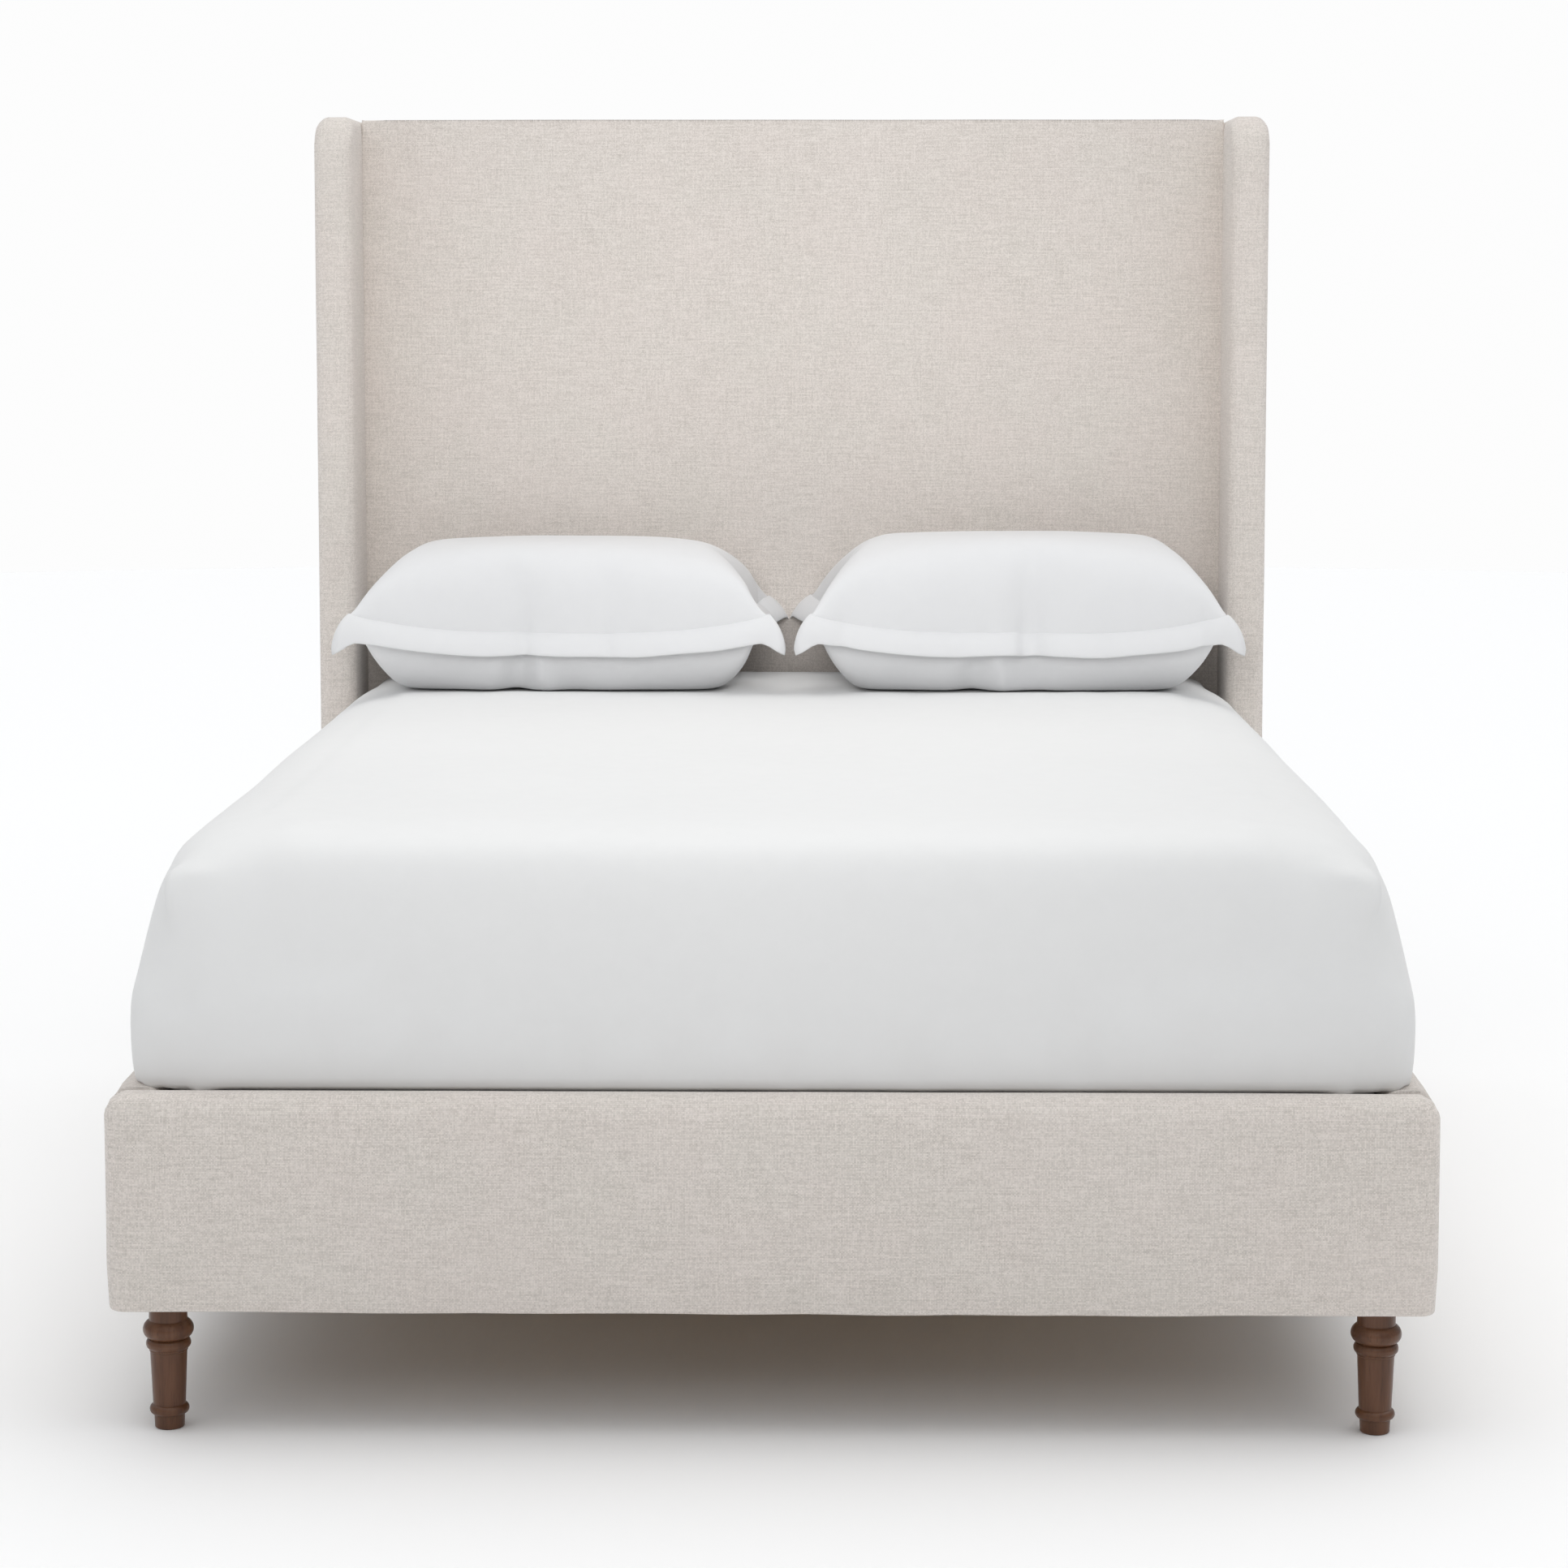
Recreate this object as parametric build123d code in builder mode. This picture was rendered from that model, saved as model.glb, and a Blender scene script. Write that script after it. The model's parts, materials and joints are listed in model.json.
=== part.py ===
from build123d import *

import os

# A queen-size upholstered bed with a tall winged headboard, as separate pieces.
# Millimetres, +Z up. The origin is on the floor under the middle of the bed, the foot
# end is towards -Y and the headboard towards +Y. Left and right are seen from the foot.

# --- Driving dimensions ---------------------------------------------------------
# Mattress, and the room round it
mattress_width = 1524.0
mattress_length = 2032.0
mattress_height = 368.0
mattress_side_gap = 5.0
mattress_foot_gap = 20.0
mattress_head_gap = 4.0
mattress_rest_gap = 0.5
mattress_corner = 75.0
mattress_edge = 32.0
mattress_wall = 12.0
mattress_floor = 10.0
quilt_height = 46.0
core_play = 0.5

# Upholstery layers, used all over the frame
fabric = 1.5
inner_foam = 2.0
top_foam = 14.0
board_thickness = 38.0
side_foam = 18.0
foot_foam = 22.0
staple_lip = 9.0

# Heights of the frame
leg_height = 158.0
rail_height = 270.0
headboard_top = 1730.0
slat_drop = 103.0

# Edge roundings of the upholstered frame
foot_corner_round = 24.0
foot_top_round = 20.0
rail_top_round = 18.0
rail_end_gap = 0.5

# Headboard and wings
head_frame_depth = 34.0
plywood_thickness = 6.0
head_foam = 42.0
stile_width = 90.0
head_top_rail_height = 80.0
bottom_rail_over_slats = 4.5
head_top_round = 22.0
wing_reach = 158.0
wing_nose = 78.0
wing_edge_round = 15.0
panel_gap = 0.5

# Slats, ledges and middle beam
slat_count = 10
slat_width = 120.0
slat_thickness = 18.0
slat_end_gap = 3.0
first_slat_inset = 24.0
slat_edge = 4.0
ledge_width = 32.0
ledge_height = 34.0
ledge_end_gap = 6.0
beam_width = 44.0
beam_height = 56.0
hanger_steel = 3.0
hanger_depth = 46.0
hanger_play = 0.5
hanger_rise = 34.0

# Countersunk wood screws of the slat base
screw_radius = 2.25
screw_head_radius = 4.5
screw_play = 0.1
slat_screw_length = 45.0
ledge_screw_length = 58.0
ledge_screw_every = 2
foot_hanger_screw_length = 34.0
head_hanger_screw_length = 74.0
hanger_screw_spacing = 24.0
hanger_screw_drop = 26.0

# Middle legs with screw-in levelling feet
middle_leg_width = 45.0
middle_leg_bottom = 32.0
middle_leg_spread = 0.34
stud_radius = 4.0
stud_play = 0.05
stud_top = 78.0
stud_bore_spare = 12.0
pad_radius = 20.0
pad_height = 7.0
nut_flats = 13.0
nut_height = 8.0

# Turned front legs: radii and heights from the floor up
foot_radius = 18.5
foot_top_radius = 19.3
foot_height = 17.5
bead_radius = 24.8
bead_height = 13.0
shank_low_radius = 20.4
shank_top_radius = 23.2
ring_radius = 24.2
ring_height = 3.0
small_bead_radius = 28.2
small_bead_height = 13.6
large_bead_radius = 31.8
large_bead_height = 23.4
neck_radius = 24.0
neck_height = 19.5
leg_arris = 1.5
front_leg_inset = 69.5

# Rear legs, and the screws of all four
rear_leg_inset = 45.0
rear_leg_top = 44.0
rear_leg_foot = 36.0
rear_leg_chamfer = 3.0
hanger_bolt_radius = 4.0
hanger_bolt_below = 48.0
hanger_bolt_above = 34.0
insert_radius = 6.5
insert_length = 22.0
bolt_play = 0.1

# Corner hardware
bracket_steel = 4.0
bracket_reach = 92.0
bracket_height = 66.0
bracket_rise = 24.0
bracket_bend = 3.0
bolt_radius = 4.0
bolt_length = 32.0
bolt_head_radius = 6.5
bolt_head_height = 5.0
bolt_socket_flats = 5.0
bolt_socket_depth = 3.0
bolt_hole_play = 0.3

# Bedding
sheet = 1.5
bedding_play = 1.5
duvet_top_loft = 53.0
duvet_side_loft = 57.0
duvet_foot_reach = 10.0
duvet_edge = 108.0
duvet_corner = 128.0
duvet_head_gap = 24.0
duvet_wing_gap = 4.0
duvet_rest_gap = 1.0
pillow_width = 646.0
pillow_depth = 424.0
pillow_loft = 250.0
pillow_round = 92.0
pillow_spread = 385.0
pillow_below_seam = 125.0
pillow_head_gap = 8.0
pillow_rest_gap = 1.0
sham_cloth = 1.5
sham_play = 0.5
flange_reach = 50.0
flange_head_reach = 6.0
flange_thickness = 4.0
flange_corner = 6.0
sham_slit = 24.0
sham_slit_inset = 100.0

# --- Places worked out from them ------------------------------------------------
frame_bottom = leg_height
frame_top = frame_bottom + rail_height
slat_top = frame_top - slat_drop
bracket_bottom = frame_bottom + bracket_rise
turned_rings = foot_height + bead_height + ring_height + small_bead_height + large_bead_height
shank_length = leg_height - turned_rings - neck_height

side_thickness = 2 * fabric + inner_foam + board_thickness + side_foam
footboard_thickness = 2 * fabric + inner_foam + board_thickness + foot_foam
headboard_thickness = 2 * fabric + head_frame_depth + plywood_thickness + head_foam
bay_length = mattress_foot_gap + mattress_length + mattress_head_gap
overall_length = footboard_thickness + bay_length + headboard_thickness

inner_x = mattress_width / 2 + mattress_side_gap
outer_x = inner_x + side_thickness
board_x = inner_x + fabric + inner_foam
foot_y = -overall_length / 2
bay_foot_y = foot_y + footboard_thickness
bay_head_y = bay_foot_y + bay_length
back_y = overall_length / 2
wing_y = bay_head_y - wing_reach
foot_board_y = foot_y + fabric + foot_foam

board_bottom = frame_bottom + fabric
slat_bottom = slat_top - slat_thickness
beam_bottom = slat_bottom - beam_height
mattress_bottom = slat_top + mattress_rest_gap
mattress_top = mattress_bottom + mattress_height
mattress_foot_y = bay_foot_y + mattress_foot_gap
mattress_head_y = mattress_foot_y + mattress_length
sheet_top = mattress_top + sheet
duvet_inner_top = sheet_top + bedding_play
duvet_top = duvet_inner_top + duvet_top_loft
duvet_head_y = bay_head_y - duvet_head_gap

SIDES = (("left", -1), ("right", 1))


# --- Helpers ---------------------------------------------------------------------
def span(low, high, mode=Mode.ADD):
    """A box between two corners, added to or cut from the part being built."""
    centre = [(a + b) / 2 for a, b in zip(low, high)]
    size = [abs(b - a) for a, b in zip(low, high)]
    with Locations(tuple(centre)):
        Box(*size, mode=mode)


def save(piece, name):
    """Labels a finished piece and writes it as parts/NAME.step."""
    piece.part.label = name
    export_step(piece.part, f"parts/{name}.step")


def sided(side, low, high):
    """Two corners given for the right-hand side, mirrored where side is -1."""
    if side > 0:
        return low, high
    return (-high[0], low[1], low[2]), (-low[0], high[1], high[2])


def rod(start, direction, radius, length, mode=Mode.ADD):
    """A round rod from start along direction."""
    with BuildSketch(Plane(origin=start, z_dir=direction)) as disc:
        Circle(radius)
    extrude(disc.sketch, amount=length, mode=mode)


def soft_box(low, high, corner, edge):
    """A padded block: round upright corners, and a rounded edge all round the top."""
    with BuildPart() as form:
        span(low, high)
        fillet(form.edges().filter_by(Axis.Z), radius=corner)
        fillet(form.faces().sort_by(Axis.Z)[-1].edges(), radius=edge)
    return form


def shrunk(low, high, by, floor):
    """The corners of a block taken in by a skin's thickness, with its own floor height."""
    return (
        (low[0] + by, low[1] + by, low[2] + floor),
        (high[0] - by, high[1] - by, high[2] - by),
    )


# --- Bolt places -----------------------------------------------------------------
def bracket_bolt_places(side):
    """(seat, inward direction) of each bolt that holds one side's two brackets."""
    heights = (
        bracket_bottom + bracket_height * 0.25,
        bracket_bottom + bracket_height * 0.75,
    )
    outward = (side, 0, 0)
    along = bracket_reach * 0.62
    places = []
    for z in heights:
        x_seat = side * (inner_x - bracket_steel)
        places.append(((x_seat, bay_foot_y + along, z), outward))
        places.append(((side * (inner_x - along), bay_foot_y + bracket_steel, z), (0, -1, 0)))
        places.append(((x_seat, wing_y - along, z), outward))
        places.append(((x_seat, wing_y + along, z), outward))
    return places


def drill_bracket_bolts(side, play=bolt_hole_play):
    """Cuts the clearance holes of one side's bracket bolts from the current part."""
    for seat, direction in bracket_bolt_places(side):
        rod(seat, direction, bolt_radius + play, bolt_length + play, mode=Mode.SUBTRACT)


def leg_places():
    """Name and axis position of each of the four outer legs."""
    front = outer_x - front_leg_inset
    front_y = foot_board_y + board_thickness / 2
    rear = board_x + board_thickness / 2
    rear_y = back_y - rear_leg_inset
    return {
        "front_left_leg": (-front, front_y),
        "front_right_leg": (front, front_y),
        "rear_left_leg": (-rear, rear_y),
        "rear_right_leg": (rear, rear_y),
    }


def drill_leg_inserts(names):
    """Cuts the pockets of the legs' threaded inserts and screws from the current part."""
    for name in names:
        x, y = leg_places()[name]
        rod((x, y, board_bottom), (0, 0, 1), insert_radius, insert_length, Mode.SUBTRACT)
        rod(
            (x, y, board_bottom),
            (0, 0, 1),
            hanger_bolt_radius + bolt_play,
            hanger_bolt_above + bolt_play,
            Mode.SUBTRACT,
        )


def slat_places():
    """The Y of each slat's middle."""
    first = bay_foot_y + first_slat_inset + slat_width / 2
    last = bay_head_y - first_slat_inset - slat_width / 2
    pitch = (last - first) / (slat_count - 1)
    return [first + number * pitch for number in range(slat_count)]


def slat_screw_places():
    """(head, direction, length) of the screws that hold each slat to its two ledges."""
    x = inner_x - ledge_width / 2
    return [((side * x, y, slat_top), (0, 0, -1), slat_screw_length)
            for y in slat_places() for _, side in SIDES]


def ledge_screw_places(side):
    """(head, direction, length) of the screws that hold a ledge to its rail, between slats."""
    ys = slat_places()
    gaps = [(a + b) / 2 for a, b in zip(ys, ys[1:])][::ledge_screw_every]
    x = side * (inner_x - ledge_width)
    z = slat_bottom - ledge_height / 2
    return [((x, y, z), (side, 0, 0), ledge_screw_length) for y in gaps]


def hanger_screw_places(wall, outward, length):
    """(head, direction, length) of the two screws through a beam hanger's back plate."""
    z = slat_bottom - hanger_screw_drop
    y = wall - outward * hanger_steel
    return [((x, y, z), (0, outward, 0), length)
            for x in (-hanger_screw_spacing / 2, hanger_screw_spacing / 2)]


def foot_hanger_screws():
    return hanger_screw_places(bay_foot_y, -1, foot_hanger_screw_length)


def head_hanger_screws():
    return hanger_screw_places(bay_head_y, 1, head_hanger_screw_length)


def screws(places, grow=0.0, mode=Mode.ADD):
    """Countersunk screws, or with grow the holes that they go in."""
    head_depth = screw_head_radius - screw_radius
    for head, direction, length in places:
        rod(head, direction, screw_radius + grow, length + grow, mode)
        with BuildSketch(Plane(origin=head, z_dir=direction)) as disc:
            Circle(screw_head_radius + grow)
        extrude(disc.sketch, amount=head_depth, taper=45, mode=mode)


def drill_screws(places):
    """Cuts the holes of these screws from the part being built."""
    screws(places, screw_play, Mode.SUBTRACT)


# --- Footboard -------------------------------------------------------------------
def drill_footboard():
    """Cuts what passes through the footboard: bracket bolts and the beam hanger's screws."""
    for _, side in SIDES:
        drill_bracket_bolts(side)
    drill_screws(foot_hanger_screws())


def make_footboard():
    low = (-outer_x, foot_y, frame_bottom)
    high = (outer_x, bay_foot_y, frame_top)
    core_low = (-outer_x + fabric + side_foam, foot_board_y, board_bottom)
    core_high = (
        outer_x - fabric - side_foam,
        foot_board_y + board_thickness,
        frame_top - fabric - top_foam,
    )
    skinned = shrunk(low, high, fabric, fabric)
    outside = soft_box(low, high, foot_corner_round, foot_top_round)
    inside = soft_box(*skinned, foot_corner_round - fabric, foot_top_round - fabric)

    with BuildPart() as board:
        span(core_low, core_high)
        drill_footboard()
        drill_leg_inserts(("front_left_leg", "front_right_leg"))
    save(board, "footboard_board")

    with BuildPart() as foam:
        add(inside.part)
        span(core_low, core_high, mode=Mode.SUBTRACT)
        drill_footboard()
    save(foam, "footboard_foam")

    with BuildPart() as cover:
        add(outside.part)
        add(inside.part, mode=Mode.SUBTRACT)
        span(*open_bottom(core_low, core_high), mode=Mode.SUBTRACT)
        drill_footboard()
    save(cover, "footboard_cover")


def open_bottom(core_low, core_high):
    """The opening under a cover, where the fabric is stapled a lip's width in from the board."""
    return (
        (core_low[0] + staple_lip, core_low[1] + staple_lip, frame_bottom),
        (core_high[0] - staple_lip, core_high[1] - staple_lip, board_bottom),
    )


# --- Side rails ------------------------------------------------------------------
def rail_form(side, low, high, edge):
    """A rail's padded block, with both long top edges rounded."""
    with BuildPart() as form:
        span(*sided(side, low, high))
        long_edges = form.faces().sort_by(Axis.Z)[-1].edges().filter_by(Axis.Y)
        fillet(long_edges, radius=edge)
    return form


def drill_rail(side):
    """Cuts what passes through a rail: bracket bolts and the ledge's screws."""
    drill_bracket_bolts(side)
    drill_screws(ledge_screw_places(side))


def make_side_rail(hand, side):
    low = (inner_x, bay_foot_y + rail_end_gap, frame_bottom)
    high = (outer_x, wing_y - rail_end_gap, frame_top)
    core = sided(
        side,
        (board_x, low[1] + fabric, board_bottom),
        (board_x + board_thickness, high[1] - fabric, frame_top - fabric - top_foam),
    )
    outside = rail_form(side, low, high, rail_top_round)
    inside = rail_form(side, *shrunk(low, high, fabric, fabric), rail_top_round - fabric)

    with BuildPart() as board:
        span(*core)
        drill_rail(side)
    save(board, f"{hand}_rail_board")

    with BuildPart() as foam:
        add(inside.part)
        span(*core, mode=Mode.SUBTRACT)
        drill_rail(side)
    save(foam, f"{hand}_rail_foam")

    with BuildPart() as cover:
        add(outside.part)
        add(inside.part, mode=Mode.SUBTRACT)
        span(*open_bottom(*core), mode=Mode.SUBTRACT)
        drill_rail(side)
    save(cover, f"{hand}_rail_cover")


def make_ledge(hand, side):
    ledge_low = (inner_x - ledge_width, bay_foot_y + ledge_end_gap, slat_bottom - ledge_height)
    ledge_high = (inner_x, bay_head_y - ledge_end_gap, slat_bottom)
    with BuildPart() as ledge:
        span(*sided(side, ledge_low, ledge_high))
        chamfer(ledge.faces().sort_by(Axis.Z)[0].edges().filter_by(Axis.Y), length=slat_edge)
        drill_screws(ledge_screw_places(side))
        drill_screws(slat_screw_places())
    save(ledge, f"{hand}_slat_ledge")


# --- Wings -----------------------------------------------------------------------
def wing_form(side, low, high, nose, edge):
    """A wing's upright slab: its front top corner is a wide curve, its rims are rounded."""
    low, high = sided(side, low, high)
    with BuildPart() as form:
        with BuildSketch(Plane.YZ.offset(low[0])) as profile:
            with Locations(((low[1] + high[1]) / 2, (low[2] + high[2]) / 2)):
                Rectangle(high[1] - low[1], high[2] - low[2])
            front_top = profile.vertices().group_by(Axis.Y)[-1].sort_by(Axis.X)[0]
            fillet(front_top, radius=nose)
        extrude(amount=high[0] - low[0])
        if edge > 0:
            fillet(front_and_top_rims(form, low, high), radius=edge)
    return form


def front_and_top_rims(form, low, high):
    """The edges of a wing's two broad faces, without those of its back and its bottom."""
    broad = form.faces().filter_by(Axis.X).edges()
    return broad.filter_by(
        lambda rim: rim.center().Y < high[1] - fabric and rim.center().Z > low[2] + fabric
    )


def make_wing(hand, side):
    low = (inner_x, wing_y, frame_bottom)
    high = (outer_x, back_y, headboard_top)
    core_low = (board_x, wing_y + fabric + side_foam, board_bottom)
    core_high = (
        board_x + board_thickness,
        back_y - fabric - inner_foam,
        headboard_top - fabric - top_foam,
    )
    skinned = shrunk(low, high, fabric, fabric)
    outside = wing_form(side, low, high, wing_nose, wing_edge_round)
    inside = wing_form(side, *skinned, wing_nose - fabric, wing_edge_round - fabric)
    core = wing_form(side, core_low, core_high, wing_nose - fabric - top_foam, 0)

    with BuildPart() as board:
        add(core.part)
        drill_bracket_bolts(side)
        drill_leg_inserts((f"rear_{hand}_leg",))
    save(board, f"{hand}_wing_board")

    with BuildPart() as foam:
        add(inside.part)
        add(core.part, mode=Mode.SUBTRACT)
        drill_bracket_bolts(side)
    save(foam, f"{hand}_wing_foam")

    with BuildPart() as cover:
        add(outside.part)
        add(inside.part, mode=Mode.SUBTRACT)
        span(*open_bottom(*sided(side, core_low, core_high)), mode=Mode.SUBTRACT)
        drill_bracket_bolts(side)
    save(cover, f"{hand}_wing_cover")


# --- Headboard panel -------------------------------------------------------------
panel_x = inner_x - panel_gap
panel_core_x = panel_x - fabric - inner_foam
panel_core_top = headboard_top - fabric - top_foam
panel_frame_back = back_y - fabric
panel_frame_front = panel_frame_back - head_frame_depth
plywood_front = panel_frame_front - plywood_thickness


def panel_form(low, high, front_edge):
    """The headboard panel's padded block, rounded along its top, less so at its back."""
    with BuildPart() as form:
        span(low, high)
        top = form.faces().sort_by(Axis.Z)[-1].edges().filter_by(Axis.X).sort_by(Axis.Y)
        fillet(top[0], radius=front_edge)
        back = form.faces().sort_by(Axis.Z)[-1].edges().filter_by(Axis.X).sort_by(Axis.Y)
        fillet(back[-1], radius=front_edge / 2)
    return form


def make_panel_frame():
    with BuildPart() as plywood:
        span(
            (-panel_core_x, plywood_front, board_bottom),
            (panel_core_x, panel_frame_front, panel_core_top),
        )
        drill_screws(head_hanger_screws())
    save(plywood, "headboard_plywood")

    between = panel_core_x - stile_width
    for hand, side in SIDES:
        stile_low = (between, panel_frame_front, board_bottom)
        stile_high = (panel_core_x, panel_frame_back, panel_core_top)
        with BuildPart() as stile:
            span(*sided(side, stile_low, stile_high))
        save(stile, f"headboard_{hand}_stile")

    with BuildPart() as bottom_rail:
        rail_top = slat_top + bottom_rail_over_slats
        span(
            (-between, panel_frame_front, board_bottom),
            (between, panel_frame_back, rail_top),
        )
        drill_screws(head_hanger_screws())
    save(bottom_rail, "headboard_bottom_rail")

    with BuildPart() as top_rail:
        span(
            (-between, panel_frame_front, panel_core_top - head_top_rail_height),
            (between, panel_frame_back, panel_core_top),
        )
    save(top_rail, "headboard_top_rail")


def make_panel_cover():
    low = (-panel_x, bay_head_y, frame_bottom)
    high = (panel_x, back_y, headboard_top)
    core_low = (-panel_core_x, plywood_front, board_bottom)
    core_high = (panel_core_x, panel_frame_back, panel_core_top)
    outside = panel_form(low, high, head_top_round)
    inside = panel_form(*shrunk(low, high, fabric, fabric), head_top_round - fabric)

    with BuildPart() as foam:
        add(inside.part)
        span(core_low, core_high, mode=Mode.SUBTRACT)
        drill_screws(head_hanger_screws())
    save(foam, "headboard_foam")

    margin = stile_width / 2
    window = (
        (-panel_x + margin, panel_frame_back, board_bottom + margin),
        (panel_x - margin, back_y, headboard_top - margin),
    )
    with BuildPart() as cover:
        add(outside.part)
        add(inside.part, mode=Mode.SUBTRACT)
        span(*window, mode=Mode.SUBTRACT)
        span(*open_bottom(core_low, core_high), mode=Mode.SUBTRACT)
        drill_screws(head_hanger_screws())
    save(cover, "headboard_cover")

    with BuildPart() as back_cloth:
        span(*window)
    save(back_cloth, "headboard_back_cloth")


# --- Legs ------------------------------------------------------------------------
def leg_profile():
    """Half outline of the turned leg, as (radius, height) points with bulging beads between."""
    z_bead = foot_height + bead_height
    z_shank = z_bead + shank_length
    z_small = z_shank + ring_height
    z_large = z_small + small_bead_height
    z_neck = z_large + large_bead_height
    Polyline(
        (0, 0), (foot_radius - leg_arris, 0), (foot_radius, leg_arris), (foot_top_radius, foot_height)
    )
    bead((foot_top_radius, foot_height), bead_radius, (shank_low_radius, z_bead))
    Polyline(
        (shank_low_radius, z_bead),
        (shank_top_radius, z_shank),
        (ring_radius, z_shank + ring_height / 3),
        (ring_radius, z_small),
    )
    bead((ring_radius, z_small), small_bead_radius, (ring_radius, z_large))
    bead((ring_radius, z_large), large_bead_radius, (neck_radius, z_neck))
    Polyline((neck_radius, z_neck), (neck_radius, leg_height), (0, leg_height), (0, 0))


def bead(start, radius, end):
    """A turned bead: an arc that swells to radius half way up."""
    ThreePointArc(start, (radius, (start[1] + end[1]) / 2), end)


def turned_leg(x, y):
    """A lathe-turned leg: foot, bead, tapered shank, small bead, large bead and neck."""
    with BuildPart() as leg:
        with BuildSketch(Plane(origin=(x, y, 0), x_dir=(1, 0, 0), z_dir=(0, -1, 0))):
            with BuildLine():
                leg_profile()
            make_face()
        revolve(axis=Axis((x, y, 0), (0, 0, 1)))
        drill_hanger_bolt(x, y)
    return leg


def block_leg(x, y):
    """A plain tapered square leg with softened uprights."""
    with BuildPart() as leg:
        with BuildSketch(Plane(origin=(x, y, 0))):
            Rectangle(rear_leg_foot, rear_leg_foot)
        with BuildSketch(Plane(origin=(x, y, frame_bottom))):
            Rectangle(rear_leg_top, rear_leg_top)
        loft()
        uprights = leg.faces().filter_by(
            lambda f: abs(f.normal_at().Z) < 0.5
        ).edges().filter_by(lambda e: e.length > frame_bottom * 0.9)
        chamfer(uprights, length=rear_leg_chamfer)
        drill_hanger_bolt(x, y)
    return leg


def drill_hanger_bolt(x, y):
    """Cuts a leg's blind screw hole from its top."""
    rod(
        (x, y, frame_bottom),
        (0, 0, -1),
        hanger_bolt_radius + bolt_play,
        hanger_bolt_below + bolt_play,
        Mode.SUBTRACT,
    )


def make_legs():
    for name, (x, y) in leg_places().items():
        leg = turned_leg(x, y) if name.startswith("front") else block_leg(x, y)
        save(leg, name)

    with BuildPart() as bolts:
        for x, y in leg_places().values():
            start = (x, y, frame_bottom - hanger_bolt_below)
            length = hanger_bolt_below + fabric + hanger_bolt_above
            rod(start, (0, 0, 1), hanger_bolt_radius, length)
    save(bolts, "leg_hanger_bolts")

    with BuildPart() as inserts:
        for x, y in leg_places().values():
            rod((x, y, board_bottom), (0, 0, 1), insert_radius, insert_length)
        for x, y in leg_places().values():
            bore = hanger_bolt_radius + bolt_play
            rod((x, y, board_bottom), (0, 0, 1), bore, insert_length, Mode.SUBTRACT)
    save(inserts, "leg_threaded_inserts")


# --- Corner hardware -------------------------------------------------------------
def make_brackets():
    z_low, z_high = bracket_bottom, bracket_bottom + bracket_height

    with BuildPart() as angles:
        for _, side in SIDES:
            span(
                *sided(
                    side,
                    (inner_x - bracket_steel, bay_foot_y, z_low),
                    (inner_x, bay_foot_y + bracket_reach, z_high),
                )
            )
            span(
                *sided(
                    side,
                    (inner_x - bracket_reach, bay_foot_y, z_low),
                    (inner_x - bracket_steel, bay_foot_y + bracket_steel, z_high),
                )
            )
        bends = angles.edges().filter_by(Axis.Z).filter_by(
            lambda e: abs(abs(e.center().X) - inner_x + bracket_steel) < 0.01
            and abs(e.center().Y - bay_foot_y - bracket_steel) < 0.01
        )
        fillet(bends, radius=bracket_bend)
        for _, side in SIDES:
            drill_bracket_bolts(side)
    save(angles, "foot_corner_brackets")

    with BuildPart() as plates:
        for _, side in SIDES:
            span(
                *sided(
                    side,
                    (inner_x - bracket_steel, wing_y - bracket_reach, z_low),
                    (inner_x, wing_y + bracket_reach, z_high),
                )
            )
        fillet(plates.edges().filter_by(Axis.X), radius=bracket_bend)
        for _, side in SIDES:
            drill_bracket_bolts(side)
    save(plates, "head_joining_plates")

    with BuildPart() as bolts:
        for _, side in SIDES:
            for seat, direction in bracket_bolt_places(side):
                rod(seat, direction, bolt_radius, bolt_length)
                outward = tuple(-d for d in direction)
                with BuildSketch(Plane(origin=seat, z_dir=outward)):
                    Circle(bolt_head_radius)
                extrude(amount=bolt_head_height)
                crown = tuple(s + o * bolt_head_height for s, o in zip(seat, outward))
                with BuildSketch(Plane(origin=crown, z_dir=direction)):
                    RegularPolygon(bolt_socket_flats / 2, 6, major_radius=False)
                extrude(amount=bolt_socket_depth, mode=Mode.SUBTRACT)
    save(bolts, "bracket_bolts")


# --- Slat base -------------------------------------------------------------------
def make_slats():
    half = inner_x - slat_end_gap
    for number, y in enumerate(slat_places(), start=1):
        with BuildPart() as slat:
            span(
                (-half, y - slat_width / 2, slat_bottom),
                (half, y + slat_width / 2, slat_top),
            )
            fillet(slat.edges().filter_by(Axis.X), radius=slat_edge)
            drill_screws([place for place in slat_screw_places() if place[0][1] == y])
        save(slat, f"slat_{number:02d}")


def make_base_screws():
    with BuildPart() as fasteners:
        screws(slat_screw_places())
        for _, side in SIDES:
            screws(ledge_screw_places(side))
        screws(foot_hanger_screws())
        screws(head_hanger_screws())
    save(fasteners, "base_screws")


def make_middle_beam():
    end_gap = hanger_steel + hanger_play
    with BuildPart() as beam:
        span(
            (-beam_width / 2, bay_foot_y + end_gap, beam_bottom),
            (beam_width / 2, bay_head_y - end_gap, slat_bottom),
        )
    save(beam, "middle_beam")

    with BuildPart() as hangers:
        for wall, into in ((bay_foot_y, 1), (bay_head_y, -1)):
            add_beam_hanger(wall, into)
        drill_screws(foot_hanger_screws())
        drill_screws(head_hanger_screws())
    save(hangers, "beam_hangers")


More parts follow.
